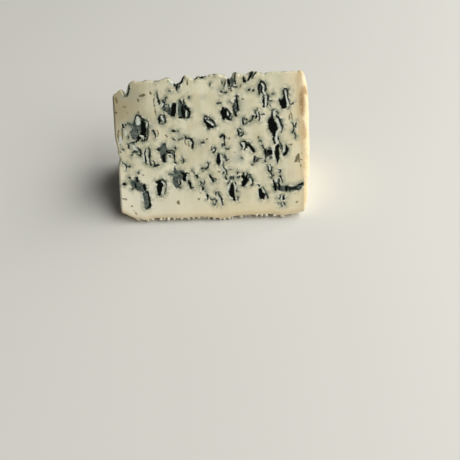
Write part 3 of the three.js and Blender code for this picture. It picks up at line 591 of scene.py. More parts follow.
# %% Front face, right third
draw("pit", [(71.6, 65.1, .5), (70.9, 63.8, .65), (70.6, 61.8, .5), (70.8, 59.4, .55)],
     [(71.8, 65.4, .5), (73, 65.3, .5), (73.8, 64.2, .5), (74.1, 62.6, .45), (73.8, 61, .4)],
     [(72.2, 62.8, .6), (72, 61.2, .65), (72.3, 59.8, .45)],
     [(72.8, 58.6, .5), (73, 57.2, .5), (72.8, 55.4, .8), (73, 53.7, .65)],
     [(74.6, 59.9, .45), (75.3, 58.4, .4), (75.1, 56.4, .4)], [(75.2, 56.3, .35), (77, 56.3, .3)],
     [(75.2, 54.5, .5), (74.8, 53.6, .4)], [(77, 59.6, .35), (77.8, 59.5, .4)], [(76.2, 53.9, .3)])
draw("slate", [(72.4, 63.4, 1.3), (72.4, 60.6, 1.1)], [(74.2, 57, 1.1), (74.2, 54.4, .9)],
     [(71, 61.6, .6)])
draw("curl",
     [(71.9, 64.4, .35), (72.8, 63.6, .4), (73, 62.2, .35), (72.7, 61, .4), (73.2, 59.8, .45),
      (74, 59.2, .35)], [(74.2, 58, .4), (74.1, 56, .5), (73.9, 53.9, .5)],
     [(71.5, 57.6, .25), (71.8, 55.5, .3)])

# %% Two long drops: one high, and the great one with its chain below
draw("pit", [(82.7, 60.6, .45), (82.9, 59, .5), (83, 57, 1), (82.7, 55, 1.6), (82.9, 53.4, 1.3)],
     [(81.1, 56.5, .6), (81.6, 54.4, .8)],
     [(83.2, 61.4, .45), (84.4, 61.6, .45), (85, 60.4, .4), (85, 57, .4), (85.4, 55.4, .35),
      (86.2, 54.1, .4)], [(85.2, 61.2, .35), (86.1, 61.2, .3)], [(86.6, 54.6, .3), (87.7, 54.8, .6)],
     [(85.5, 53.2, .25), (84.9, 52.1, .3)],
     [(77.3, 50.6, .45), (76.8, 49.2, .6), (76.5, 47.6, .9), (76.6, 46, 1.8), (77.1, 44, 2.4),
      (77.4, 42.2, 2.3), (77.5, 40.4, 1.2), (77.4, 39.3, .8)], [(77, 51.4, .35), (78, 51.8, .3)],
     [(78.9, 51, .35), (79.8, 50.4, .4)],
     [(79.1, 48.6, .5), (80.6, 46.9, .55), (81.6, 45, .5), (82.2, 43.2, .4), (82, 41.6, .35),
      (81.2, 40.7, .35)], [(77.6, 39.2, .6), (78.2, 38.5, .4)],
     [(77.3, 38, .5), (77.3, 36.8, .5), (77.9, 35.4, .55)],
     [(79.8, 38.6, .4), (80.1, 36.6, .4), (80.6, 34.8, .35)],
     [(79.4, 34.2, .8), (79, 32.6, 1.15), (79.2, 30.6, 1.3), (79.3, 28.6, .95), (79, 26.6, .55),
      (79, 25.8, .3)])
draw("slate", [(80, 49.6, .6)], [(81, 46.4, .9), (81.2, 44, .9)], [(79.4, 37.8, .9)],
     [(80.9, 34.6, .6), (81.2, 32.8, .7)], [(84.2, 60, .8), (84.6, 56.6, .8)])
draw("curl", [(78, 50.6, .5), (78.1, 49, .6)],
     [(79.2, 46.9, .45), (80.1, 45.2, .55), (80.6, 43.6, .55), (80.9, 42.3, .4)],
     [(79.3, 41, .5), (79, 39.4, .5), (78.7, 37.5, .5), (79.2, 35.7, .4)],
     [(76.6, 33.8, .35), (77, 31.6, .4), (77.4, 29.2, .4), (77.9, 27.5, .35)],
     [(83.7, 60.6, .35), (84.1, 58.4, .4), (84.4, 56.4, .45), (84.9, 54.8, .45), (84.7, 53.4, .35)])

# %% The square of mould beside them, the comma, and the long curve
draw("pit", [(74.7, 31.5, 1), (75.6, 30.9, 1.15), (75.9, 30, .7)],
     [(73.2, 32.5, .5), (73, 30.4, .55), (73.3, 28.5, .45)], [(74, 29.7, .45), (75.2, 29.6, .35)],
     [(73.2, 27.2, .4), (73.1, 26, .4)], [(72, 34.4, .45), (72.7, 33.2, .45)],
     [(83.7, 34.2, .45), (84.2, 32.8, .55), (83.7, 31.2, .75), (83, 29.9, .85), (82.1, 29.8, .65)],
     [(83, 34.8, .35)], [(81.3, 34.4, .3), (81.6, 32.6, .35), (81.4, 31.4, .3)],
     [(74, 24.4, .4), (74.6, 22.8, .5), (75.4, 20.8, .5), (76.1, 19.6, .45)],
     [(75.2, 25.1, .25), (76, 23.6, .35), (76.5, 22, .4), (76.1, 21.3, .3)],
     [(76.9, 19.4, .35), (77.7, 19.4, .3)], [(79.7, 22.2, .4), (80.6, 22, .4), (80.2, 20.8, .4)],
     [(70.9, 37, .5), (71.6, 36.6, .4)], [(67.8, 29, .4), (67.7, 27.4, .5), (67.8, 26.2, .35)],
     [(68.4, 29, .3), (69.4, 28.2, .4), (69.2, 27.2, .35), (68.4, 26.9, .3)],
     [(69.9, 28.1, .3), (71.6, 28.2, .2)], [(66.3, 25.1, .5), (67, 24.9, .4)])
draw("slate", [(73.5, 31.6, 1.2), (73.6, 29.8, .9), (75.2, 30.4, 1.4)], [(75.4, 32.8, .7)],
     [(68.6, 27.9, .6)], [(75.8, 28.2, .8)])
draw("curl", [(82.6, 32.9, .5), (82.6, 31.6, .45)], [(74.8, 24.5, .4), (75.5, 22.6, .4)],
     [(74.6, 28.2, .5)], [(68.5, 28.1, .25)])

# %% Thin forks near the rind, and the cross
draw("pit", [(68.8, 50.8, .4), (68.9, 49.2, .45), (69, 47.6, .4)], [(67, 48.8, .5), (68, 48.7, .4)],
     [(69.3, 48.5, .5)], [(70.4, 51, .35), (70.6, 49.2, .4), (70.8, 47.6, .4), (70.6, 46.6, .35)],
     [(68.3, 51.3, .3), (69.8, 51.5, .25)], [(72, 49.6, .45), (73.1, 49.5, .4)],
     [(87, 44.8, .5), (87.6, 43.4, .5), (87.8, 42.2, .4), (87.1, 40.7, .6)],
     [(89.2, 45.4, .3), (88.6, 44, .4), (88.9, 42.5, .25)],
     [(88, 40, .4), (88.6, 38.8, .35), (88.5, 37.7, .25)])
draw("curl", [(69.6, 50.6, .4), (69.7, 49.4, .3)], [(88.1, 44.8, .25)])
draw("stain", [(85.7, 48.8, .3), (85.8, 47.4, .4)], [(86.4, 49.8, .25), (87, 48.3, .3), (87.2, 47, .25)],
     [(85.6, 34.3, .4), (86.5, 34.4, .35)], [(89.6, 29.6, .5), (89, 28, .9), (88.2, 26.1, .65)],
     [(89.9, 28.6, .4), (89.8, 25.8, .35)], [(91.4, 27, .4)], [(90.6, 24.7, .35), (90.8, 23.4, .3)],
     [(91.4, 30, .3)], [(69.8, 38.7, .35), (70.3, 37.8, .25)], [(88.6, 5.6, .5)], [(94, 16.8, .3)],
     [(77.6, 8.2, .3)])

# %% The slanting drop, the knot, and the long crack that runs to the rind
draw("pit", [(70.1, 13.1, .5), (70.2, 11.6, 1.05), (70.6, 9.8, 1.25), (71.2, 8.6, 1)],
     [(71.3, 10.2, .9), (72.2, 9.6, .75)], [(70.3, 8, .45), (71.8, 7.8, .45)],
     [(69, 15.2, .35), (69.8, 14.4, .4)],
     [(71.4, 13.4, .35), (72.6, 11.6, .35), (73.7, 9.8, .4), (73.7, 8.4, .4)],
     [(76.8, 17.4, .4), (77.2, 15.6, .55), (77.8, 14, .95), (77.8, 12.3, .8)],
     [(75.6, 18.6, .35), (76.4, 18.2, .4)], [(79.6, 17.4, .45), (79.8, 16, .45)],
     [(80.5, 18.9, .5), (81.2, 17.4, .45), (81.2, 16, .35)], [(79.7, 14.9, .7), (80.2, 13.8, .55)],
     [(79.7, 13, .55), (80, 11.8, .4)], [(79.9, 9.2, .4), (79.8, 7.8, .5)],
     [(82, 9, .4), (82.1, 7.8, .8), (81.8, 7, .5)], [(81.8, 5.8, .4), (82.6, 4.6, .5)],
     [(80.5, 5.6, .25), (81, 4, .35)], [(83.2, 13.7, .7), (83.4, 11.6, .65)],
     [(85, 12.9, .65), (85.1, 11.4, .4)], [(86.2, 12.8, .45), (88, 13.2, .6)],
     [(88, 11.7, .4), (89.5, 12, .5)], [(89.2, 14.2, .5), (91, 15, .6), (92.4, 15.2, .5)])
draw("slate",
     [(79.6, 13, 1.2), (82, 12.6, 1.3), (84, 13, 1.45), (86, 12.8, 1.15), (88, 12.8, 1.2),
      (89.6, 13.3, 1.4), (91, 14.3, 1.15), (92.6, 15, .9), (94.4, 15.2, .5)], [(79, 16, 1.1)],
     [(79, 5.2, .4)], [(81.2, 8, .6)])
draw("curl", [(68.9, 12.3, .3), (69, 10, .35), (69.6, 8.3, .3)], [(71.5, 12.2, .3), (72.4, 11, .3)],
     [(72.6, 8.3, .35)], [(78.4, 17.2, .5), (78.6, 16.2, .45)], [(80.8, 9, .35), (80.8, 7.2, .45)],
     [(81.2, 5.5, .3), (81.7, 3.8, .25)], [(80.4, 15.3, .25)])
draw("rust", [(92.6, 61.5, .4), (92.1, 57.5, 1), (92.1, 53.5, .9), (92.5, 49.5, .3)],
     [(93.4, 61.8, .6), (94, 59.6, .8)], [(93, 45, .1), (93.2, 38, .1)])
print("strokes on the front face:", {kind: len(strokes) for kind, strokes in FRONT.items()})

# %% [markdown]
# ## The faces that nobody has looked at yet
# The back face and the cut end show the same cheese, so they get marks by a rule. Their large hollows
# lie where the solid has them: the solid places them by dice that this cell repeats, a linear
# congruential generator, on a shaken lattice. Around each come a pale curl and a dark line beside it,
# and a finer lattice adds slits, rings, stains and haze.

# %% Large hollows by rule
LATTICE, LATTICE_SHAKE = 12, 3
HALF_WIDTH, HALF_HEIGHT, HOLLOW_TILT = (0.9, 1.9), (1.6, 3.8), 28      # least and most, and degrees
BACK_DICE, END_DICE = 5, 23    # the solid's seeds for the back face and the cut end


def dice(seed):
    """Endless draws from 0 to 1: each state is 1664525 times the last plus 1013904223, mod 2^32."""
    state = seed
    while True:
        state = (1664525 * state + 1013904223) % 2 ** 32
        yield state / 2 ** 32


def scatter_hollows(seed, width, height, allowed):
    """The solid's large hollows: (across, up, half width, half height, tilt)."""
    roll = dice(seed)
    hollows = []
    for up in np.arange(LATTICE / 2, height, LATTICE):
        for across in np.arange(LATTICE / 2, width, LATTICE):
            x, y = (c + LATTICE_SHAKE * (2 * next(roll) - 1) for c in (across, up))
            sizes = [low + (high - low) * next(roll) for low, high in (HALF_WIDTH, HALF_HEIGHT)]
            tilt = math.radians(HOLLOW_TILT * (2 * next(roll) - 1))
            next(roll)         # the solid's depth, which here follows from the width
            if allowed(x, y):
                hollows.append((x, y, *sizes, tilt))
    return hollows


first_rolls = dice(BACK_DICE)
print("first rolls for the back face:", [round(next(first_rolls), 3) for _ in range(3)])


# %% A spine
def spine(x, y, tilt, length, sideways, widths, shake=0):
    """A stroke along a tilted line: one point for each half width, from end to end, moved sideways."""
    t = np.linspace(-1, 1, len(widths)) * length
    across, up = np.sin(tilt), np.cos(tilt)
    side = sideways + shake
    return list(zip(x + across * t + up * side, y + up * t - across * side, widths))


print("an upright spine:", np.round(spine(0, 0, 0, 1, 0, [0.2, 0.4, 0.2]), 1).tolist())

# %% Strokes by rule
# A large hollow's line: its half widths as shares of the hollow's, how far it stops short, its wander
BODY_WIDTHS, BODY_SHARE = np.array([0.5, 0.95, 1.0, 0.6]), 0.85
BODY_STOP, BODY_SHORTEST, BODY_WANDER = 0.6, 0.3, 0.35
# Some are furred with slate mould, most have a curl, and the curl is mostly on the right
FURRED_SHARE, CURLED_SHARE, SIDE_SHARES = 0.3, 0.75, [0.25, 0.75]
# Lines beside a hollow's own: (kind, share of its length, how far aside, half widths)
FURRED_LINES = [("pit", 0.6, 0.5, [0.3, 0.5, 0.4])]
CURLED_LINES = [("curl", 0.7, 0.8, [0.25, 0.4, 0.3]), ("pit", 0.75, 1.4, [0.2, 0.35, 0.25])]

# Small marks: their lattice, then the chances of each kind, each added to the last
SMALL_LATTICE, SMALL_SHAKE, SMALL_TILT, SMALL_SIZE = 5.2, 2, 0.5, (0.6, 1.9)
UP_TO = {"slit": 0.38, "ring": 0.50, "slate": 0.58, "stain": 0.75, "haze": 0.85}
SLIT_WIDTHS, SLIT_WANDER = [0.25, 0.4, 0.45, 0.3], 0.3
RING_POINTS, RING_TURN, RING_SPIN, RING_RADIUS = 6, 4.6, 3, 0.7
RING_WIDTH, RING_MIDDLE = 0.25, 0.3
SLATE_LENGTH, SLATE_WIDTHS = 0.5, [0.5, 0.7]
STAIN_WIDTH = (0.3, 0.5)


def marks_by_rule(hollows, width, height, allowed, seed):
    """Strokes for a whole face: each large hollow with its curl and dark line, then small marks."""
    draws = np.random.default_rng(seed)
    marks = {kind: [] for kind in FRONT}
    for x, y, half_width, half_height, tilt in hollows:
        length = max(half_height - half_width * BODY_STOP, BODY_SHORTEST)
        wander = draws.uniform(-BODY_WANDER, BODY_WANDER, len(BODY_WIDTHS))
        furred = draws.random() < FURRED_SHARE
        body = spine(x, y, tilt, length, 0, BODY_WIDTHS * half_width * BODY_SHARE, wander)
        marks["slate" if furred else "pit"].append(body)
        side = draws.choice([-1, 1], p=SIDE_SHARES) * half_width
        curled = draws.random() < CURLED_SHARE
        for kind, share, aside, widths in FURRED_LINES * furred + CURLED_LINES * curled:
            marks[kind].append(spine(x, y, tilt, length * share, side * aside, widths))
    for up in np.arange(SMALL_LATTICE / 2, height, SMALL_LATTICE):
        for across in np.arange(SMALL_LATTICE / 2, width, SMALL_LATTICE):
            x = across + draws.uniform(-SMALL_SHAKE, SMALL_SHAKE)
            y = up + draws.uniform(-SMALL_SHAKE, SMALL_SHAKE)
            tilt, size, pick = draws.normal(0, SMALL_TILT), draws.uniform(*SMALL_SIZE), draws.random()
            if not allowed(x, y):
                continue
            if pick < UP_TO["slit"]:
                wander = draws.uniform(-SLIT_WANDER, SLIT_WANDER, len(SLIT_WIDTHS))
                marks["pit"].append(spine(x, y, tilt, size, 0, SLIT_WIDTHS, wander))
            elif pick < UP_TO["ring"]:
                turn = np.linspace(0, RING_TURN, RING_POINTS) + tilt * RING_SPIN
                ring = RING_RADIUS * size * np.array([np.cos(turn), np.sin(turn)])
                marks["pit"].append(list(zip(x + ring[0], y + ring[1], [RING_WIDTH] * RING_POINTS)))
                marks["curl"].append([(x, y, RING_MIDDLE)])
            elif pick < UP_TO["slate"]:
                marks["slate"].append(spine(x, y, tilt, size * SLATE_LENGTH, 0, SLATE_WIDTHS))
            elif pick < UP_TO["stain"]:
                marks["stain"].append([(x, y, draws.uniform(*STAIN_WIDTH))])
            elif pick < UP_TO["haze"]:
                marks["haze"].append([(x, y, size)])
    return marks


print("share of small places left bare:", round(1 - UP_TO["haze"], 2))

# %% [markdown]
# ## From strokes to fields
# Each face has a frame: a foot corner, a direction across, one up, and one outward. A point's place
# across and up is read in that frame, and so is how far it lies *behind* the face. All strokes of a
# kind then give one distance field and one depth field. Hollows get deeper with their width, as a
# finger pushed into dough does, and their walls are steep.

# %% Face frames
back_up = TIP_TOP - (0, BASE_DEPTH, BACK_LIFT)
BACK_HEIGHT = float(np.linalg.norm(back_up))


def face_frame(corner, across, up):
    """A face's corner and its three directions; outward is across times up."""
    across, up = np.array(across, float), np.array(up, float)
    return {"corner": np.array(corner, float), "across": across, "up": up, "out": np.cross(across, up)}


front_face = face_frame((0, 0, FRONT_LIFT), (1, 0, 0), FACE_UP)
back_face = face_frame((FACE_LENGTH, BASE_DEPTH, BACK_LIFT), (-1, 0, 0), back_up / BACK_HEIGHT)
cut_end = face_frame((0, BASE_DEPTH, 0), (0, -1, 0), (0, 0, 1))
print("outward directions:", [np.round(face["out"], 2) for face in (front_face, back_face, cut_end)])

# %% Marks of the back face and the cut end
SOUND_MARGIN = 9               # no large hollows this near the foot or the rounded end
CUT_MARGIN = 3                 # nor this near the cut end
BACK_MARGIN, FRONT_MARGIN = 4, 5            # on the cut end, nor this near the back and the front face
SMALL_MARGIN = 5               # small marks come this near the foot and the rounded end
BACK_SEED, END_SEED = 71, 72


def on_back(across, up):
    """Large hollows of the back face keep clear of the foot and of both ends."""
    return up > SOUND_MARGIN and SOUND_MARGIN < across < FACE_LENGTH - CUT_MARGIN


def on_end(across, up):
    """Those of the cut end keep clear of the foot, the back face and the front face."""
    behind_front = BASE_DEPTH - across - (up - FRONT_LIFT) * math.tan(LEAN)
    return up > SOUND_MARGIN and across > BACK_MARGIN and behind_front > FRONT_MARGIN


def small_on_back(across, up):
    """Small marks of the back face may come nearer to the foot and the rounded end."""
    return up > SMALL_MARGIN and across > SMALL_MARGIN


def small_on_end(across, up):
    """Those of the cut end may come nearer to its foot."""
    return up > SMALL_MARGIN and on_end(across, up + SOUND_MARGIN)


back_hollows = scatter_hollows(BACK_DICE, FACE_LENGTH, BACK_HEIGHT, on_back)
end_hollows = scatter_hollows(END_DICE, BASE_DEPTH, BACK_HEIGHT, on_end)
BACK = marks_by_rule(back_hollows, FACE_LENGTH, BACK_HEIGHT, small_on_back, BACK_SEED)
END = marks_by_rule(end_hollows, BASE_DEPTH, BACK_HEIGHT, small_on_end, END_SEED)
print("strokes on back and cut end:", sum(map(len, BACK.values())), sum(map(len, END.values())))

# %% Distance and depth fields
FAR = 3.0                      # distances are followed this far out
PIT_RATE, PIT_LEAST = 2.4, 0.7              # a pit's depth: rate times half width, plus the least
SLATE_RATE, SLATE_LEAST = 0.7, 0.35
WALL_RATE, WALL_LEAST = 0.4, 0.22           # how wide its wall is, in the same way
RAGGED = [(0.34, 1.7, 0), (0.2, 0.7, 1)]    # shake of the outlines: (strength, size in mm, seed)
NO_LENGTH = 1e-9               # stands for the squared length of a stroke of one point


def stroke_distance(x, y, stroke):
    """Signed distance to a stroke: over its pieces, the least of distance to the piece's line less
    the half width, which runs evenly from one end of the piece to the other."""
    knots = np.array(stroke, float)
    ends = knots[1:] if len(knots) > 1 else knots
    best = np.full(x.shape, FAR)
    for (ax, ay, ar), (bx, by, br) in zip(knots, ends):
        length = max((bx - ax) ** 2 + (by - ay) ** 2, NO_LENGTH)
        t = np.clip(((x - ax) * (bx - ax) + (y - ay) * (by - ay)) / length, 0, 1)
        away = np.hypot(x - ax - t * (bx - ax), y - ay - t * (by - ay))
        best = np.minimum(best, away - ar - t * (br - ar))
    return best


def fields(x, y, strokes, rate=0.0, least=0.0):
    """Nearest signed distance, and the depth pressed by all strokes: each presses to its own depth
    behind a smooth wall."""
    nearest, depth = np.full(x.shape, FAR), np.zeros(x.shape)
    for stroke in strokes:
        knots = np.array(stroke, float)
        low, high = knots.min(axis=0) - FAR, knots.max(axis=0) + FAR
        near = np.flatnonzero((x > low[0]) & (x < high[0]) & (y > low[1]) & (y < high[1]))
        away = stroke_distance(x[near], y[near], stroke)
        widest = knots[:, 2].max()
        pressed = (rate * widest + least) * smooth(-away / (WALL_LEAST + WALL_RATE * widest))
        nearest[near] = np.minimum(nearest[near], away)
        depth[near] = np.maximum(depth[near], pressed)
    return nearest, depth


here, above = np.zeros(1), np.full(1, 2.0)
print("a dot of half width 1, seen from 2 mm above:", stroke_distance(here, above, [(0, 0, 1)]), "mm")

# %% [markdown]
# ## Relief of a cut face
# The relief of a face is how far each point is pushed in. Hollows come first, with lumpy floors. Round
# them the paste swells a little, because the knife drags it. Curls stand up inside the hollows nearly
# to the face. The sound paste keeps fine streaks, all running up the face, the way the blade went.

# %% Relief
LIP_HEIGHT, LIP_PLACE, LIP_WIDTH = 0.16, 0.35, 0.4      # swelling round a hollow
LIP_EVEN, LIP_UNEVEN = 0.6, [(0.6, 2.2, 34)]            # the even share of it, and the uneven one
CURL_TOP, CURL_DROP, CURL_SIDE = -0.10, 0.9, 0.4        # a curl's crest, just proud, its fall, its side
CURL_SHAKE = 0.5               # a curl's outline is less ragged than a hollow's, by this factor
JAG_SEEDS = (0, 10)            # added to the seed, across and up
FLOOR_EDGE = 0.4               # a hollow's lumpy floor begins this far inside
LUMPS = [(0.22, 1.1, 20), (0.12, 0.5, 21)]
LUMPS_OF_DEPTH, LUMPS_IN_MM = 1.2, 0.6      # they deepen a hollow by a share and by a height
STREAK = 0.025                 # height of the knife's streaks
STREAKS = [(1, 18, 0.9, 30), (0.6, 30, 2.3, 31)]        # (strength, times as long as wide, width, seed)
GRAIN = 0.03                   # height of the fine grain
GRAINS = [(1, 0.8, 32), (0.6, 2.1, 33)]


def relief(x, y, marks, thickness, seed):
    """Fields of one face at the places x, y: how deep each point is pushed, and where marks lie."""
    jag_x, jag_y = (unevenness(x, y, RAGGED, seed + own) for own in JAG_SEEDS)
    pit, pit_depth = fields(x + jag_x, y + jag_y, marks["pit"], PIT_RATE, PIT_LEAST)
    slate, slate_depth = fields(x + jag_x, y + jag_y, marks["slate"], SLATE_RATE, SLATE_LEAST)
    curl, _ = fields(x + jag_x * CURL_SHAKE, y + jag_y * CURL_SHAKE, marks["curl"])
    flat = {kind: fields(x + jag_x, y + jag_y, marks[kind])[0] for kind in ("stain", "haze", "rust")}
    hole = np.minimum(pit, slate)
    inside = smooth(-hole / FLOOR_EDGE)
    lumps = unevenness(x, y, LUMPS, seed)
    depth = np.maximum(pit_depth, slate_depth) * (1 + LUMPS_OF_DEPTH * lumps)
    depth = np.minimum(depth + lumps * inside * LUMPS_IN_MM, thickness)
    streaks = sum(strength * noise(x, y / longer, width, seed + own)
                  for strength, longer, width, own in STREAKS)
    depth -= (1 - inside) * (STREAK * streaks + GRAIN * unevenness(x, y, GRAINS, seed))
    lip = LIP_HEIGHT * np.exp(-((hole - LIP_PLACE) / LIP_WIDTH) ** 2)
    depth -= lip * (LIP_EVEN + unevenness(x, y, LIP_UNEVEN, seed))
    crest = CURL_TOP + CURL_DROP * np.clip(1 + curl / CURL_SIDE, 0, 1) ** 2
    depth = np.where(curl < 0, np.minimum(depth, crest), depth)
    return {"depth": depth, "pit": pit, "slate": slate, "curl": curl, **flat}


print("streaks are at most", round(STREAK * sum(strength for strength, *_ in STREAKS), 2), "mm high")

# %% [markdown]
# ## Carving
# A hollow that breaks an edge must cut both faces that meet there. So a point isn't moved by which
# face it belongs to, but by how far it lies behind the face that is being carved: what lies between
# the face and a margin below the hollow's floor is squeezed into that margin. A swelling moves points
# out, and fades with the distance behind the face.

# %% Carve the three cut faces
CARVE_MARGIN = 1.2
REACH = 8.0                    # points further behind a face than this can't be touched
# A mark's colour reaches this far behind the face, or behind the floor of its hollow
PAINT_SKIN = {kind: 4 if kind == "rust" else 0.5 for kind in FRONT}
# Hollows go at most this share of the way to the face behind, and on the cut end at most this deep
FRONT_SHARE, BACK_SHARE, CUT_END_DEEPEST = 0.5, 0.35, 3.8
WIDENING = math.sin(math.radians(46.7))     # about how fast the wedge gets thicker below the ridge
marks_on_skin = {kind: np.full(points.shape[:2], FAR) for kind in FRONT}
deepness = np.zeros(points.shape[:2])


def carve(face, marks, thickness_rule, seed):
    """Pushes the skin's points in by the relief of one face, and keeps the nearest mark of each kind."""
    from_corner = points - face["corner"]
    across, up = from_corner @ face["across"], from_corner @ face["up"]
    behind = -(from_corner @ face["out"])
    near = np.flatnonzero(behind.ravel() < REACH)
    x, y, back = across.ravel()[near], up.ravel()[near], behind.ravel()[near]
    found = relief(x, y, marks, thickness_rule(x, y), seed)
    depth = found["depth"]
    squeezed = depth + back * CARVE_MARGIN / (np.maximum(depth, 0) + CARVE_MARGIN)
    pushed = np.where(back < np.maximum(depth, 0) + CARVE_MARGIN, squeezed, back)
    swollen = back + depth * np.exp(-np.clip(back, 0, None))
    target = np.where(depth > 0, pushed, swollen)
    flat = points.reshape(-1, 3)
    flat[near] -= (target - back)[:, None] * face["out"]
    floor_depth = np.maximum(depth, 0)
    deepness.ravel()[near] = np.maximum(deepness.ravel()[near], np.clip(target, 0, floor_depth))
    for kind, distance in marks_on_skin.items():
        limit = back - PAINT_SKIN[kind] - (floor_depth if kind in ("pit", "slate") else 0)
        distance.ravel()[near] = np.minimum(distance.ravel()[near], np.maximum(found[kind], limit))
    return near.size, float(depth.max())


def front_thickness(x, y):
    """How deep a front hollow may be: a share of the wedge's thickness there."""
    return FRONT_SHARE * (TIP_THICKNESS + np.clip(tip_height(x) - y, 0, None) * WIDENING)


def back_thickness(x, y):
    """How deep a back hollow may be, in the same way."""
    return BACK_SHARE * (TIP_THICKNESS + np.clip(BACK_HEIGHT - y, 0, None) * WIDENING)


def cut_end_thickness(x, y):
    """How deep a hollow of the cut end may be."""
    return np.full(x.shape, CUT_END_DEEPEST)


# Each face: its frame, its strokes, the rule for how deep they may go, and its seed
CARVED = {
    "front": (front_face, FRONT, front_thickness, 101),
    "back": (back_face, BACK, back_thickness, 201),
    "cut end": (cut_end, END, cut_end_thickness, 301),
}
for name, face in CARVED.items():
    print(name + ": points and deepest mm", carve(*face))

# %% [markdown]
# ## Rind
# The right end and the foot carry the rind, a dry cream skin. The material needs to know how far each
# point lies from it. That is one more field: the distance to the rounded end along the piece, or the
# height above the foot's own profile, whichever is less, negative on the rind itself. The rind isn't
# carved, but it is lumpy, and its edge wanders.

# %% Rind field and the last touches of the shape
RIND_START = 92.3              # the rind begins this far along
RIND_DEPTH = 0.7               # and is this thick where the foot edge shows it
RIND_WIDER, WIDER_FROM, WIDER_TO = 1.6, 28, 34          # above these heights it begins this much sooner
RIND_WANDER = [(0.5, 5.0, 61), (0.2, 1.2, 62)]          # its edge wanders, at the foot by this share:
FOOT_WANDER = 0.5
RIND_LUMPS = [(0.16, 2.6, 63), (0.08, 0.9, 64)]
LUMPS_FADE = 0.8               # lumps are full this far from the rind's edge
BED = 0.6                      # lower than this the piece rests, and stays as flat as the solid
PIECE_MIDDLE = (FACE_LENGTH / 2, 22, 16)    # lumps move points away from it, mostly along the piece
AWAY_SHARES = (1, 0.3, 0.3)
SKIN_CLEAR, CRUMB_CLEAR = 0.01, 0.02        # the pieces stay this far inside the solid's box

x, y, z = points[..., 0], points[..., 1], points[..., 2]
foot = foot_height(rows_along()[0])[:, None]
front_slope = (FRONT_LIFT + foot * FACE_UP[2]) / (REST_FROM - foot * FACE_UP[1])
back_slope = BACK_LIFT / (BASE_DEPTH - REST_TO)
foot_profile = np.maximum(np.maximum(front_slope * (REST_FROM - y), back_slope * (y - REST_TO)), 0)
wander = unevenness(z, y, RIND_WANDER)
rind_start = RIND_START - RIND_WIDER * smooth((z - WIDER_FROM) / (WIDER_TO - WIDER_FROM))
rind = np.minimum(rind_start - x + wander, z - foot_profile - RIND_DEPTH + FOOT_WANDER * wander)
lumpy = smooth(-rind / LUMPS_FADE) * unevenness(y + x, z, RIND_LUMPS)
outwards = np.sign(points - np.array(PIECE_MIDDLE)) * AWAY_SHARES
points -= (lumpy * (z > BED))[..., None] * outwards


def in_box(places, clear):
    """Places in the solid's own frame, kept inside its box by a clearance."""
    return np.clip(places - MIDDLE, box_low + clear, box_high - clear)


placed = in_box(np.concatenate([points.reshape(-1, 3), poles]), SKIN_CLEAR)
print("rind covers", round(float((rind < 0).mean()), 3), "of the points")


# %% [markdown]
# ## Meshes from arrays
# A grid that closes round its columns, with a point at each end, is a closed surface. The triangles of
# one such grid come from shifted index arrays, and a pile of equal grids only adds an offset to each.

# %% Triangles and meshes
def closed_grid(rows, columns):
    """Triangles of a grid that wraps round: two to a cell, then a fan at each end. The end points
    follow the grid's own points. Faces point outwards when columns run anticlockwise seen from the
    last row."""
    here = np.arange(rows * columns).reshape(rows, columns)
    beside = np.roll(here, -1, axis=1)
    cells = [np.stack([here[:-1], beside[:-1], here[1:]], -1),
             np.stack([beside[:-1], beside[1:], here[1:]], -1)]
    first, last = np.full(columns, rows * columns), np.full(columns, rows * columns + 1)
    fans = [np.stack([first, beside[0], here[0]], -1), np.stack([last, here[-1], beside[-1]], -1)]
    return np.concatenate([part.reshape(-1, 3) for part in cells + fans])


def make_piece(name, vertices, triangles, attributes=None):
    """A Blender object from arrays in millimetres, smooth shaded, with float attributes on its points."""
    mesh = bpy.data.meshes.new(name)
    mesh.vertices.add(len(vertices))
    mesh.vertices.foreach_set("co", (vertices * MM).astype(np.float32).ravel())
    mesh.loops.add(triangles.size)
    mesh.loops.foreach_set("vertex_index", triangles.astype(np.int32).ravel())
    mesh.polygons.add(len(triangles))
    mesh.polygons.foreach_set("loop_start", np.arange(0, triangles.size, 3, dtype=np.int32))
    mesh.polygons.foreach_set("use_smooth", np.ones(len(triangles), bool))
    mesh.update(calc_edges=True)
    for attribute, values in (attributes or {}).items():
        layer = mesh.attributes.new(attribute, "FLOAT", "POINT")
        layer.data.foreach_set("value", values.astype(np.float32))
    piece = bpy.data.objects.new(name, mesh)
    bpy.context.scene.collection.objects.link(piece)
    print(name, "has", len(triangles), "triangles")
    return piece


def with_poles(field):
    """A field on the grid, flattened, with the mean of the first and last row for the end points."""
    return np.concatenate([field.ravel(), [field[0].mean(), field[-1].mean()]])


measured = {"hole": np.minimum(marks_on_skin["pit"], marks_on_skin["slate"])}
measured |= {kind: marks_on_skin[kind] for kind in ("pit", "curl", "stain", "haze", "rust")}
measured |= {"rind": rind, "deep": deepness}
fields_for_shader = {name + "_mm": with_poles(field) for name, field in measured.items()}
wedge = make_piece("cheese_paste_and_rind", placed, closed_grid(*points.shape[:2]), fields_for_shader)

# %% [markdown]
# ## Crumbs
# A soft cheese crumbles where the rind is cut through, so small beads of paste cling to the foot edge
# of the front face and hang from it like teeth. Each is a small ball, squeezed and dented by its own
# random numbers. They are one joined mesh, worked out as one array of balls, because dozens of objects
# would only be slower.

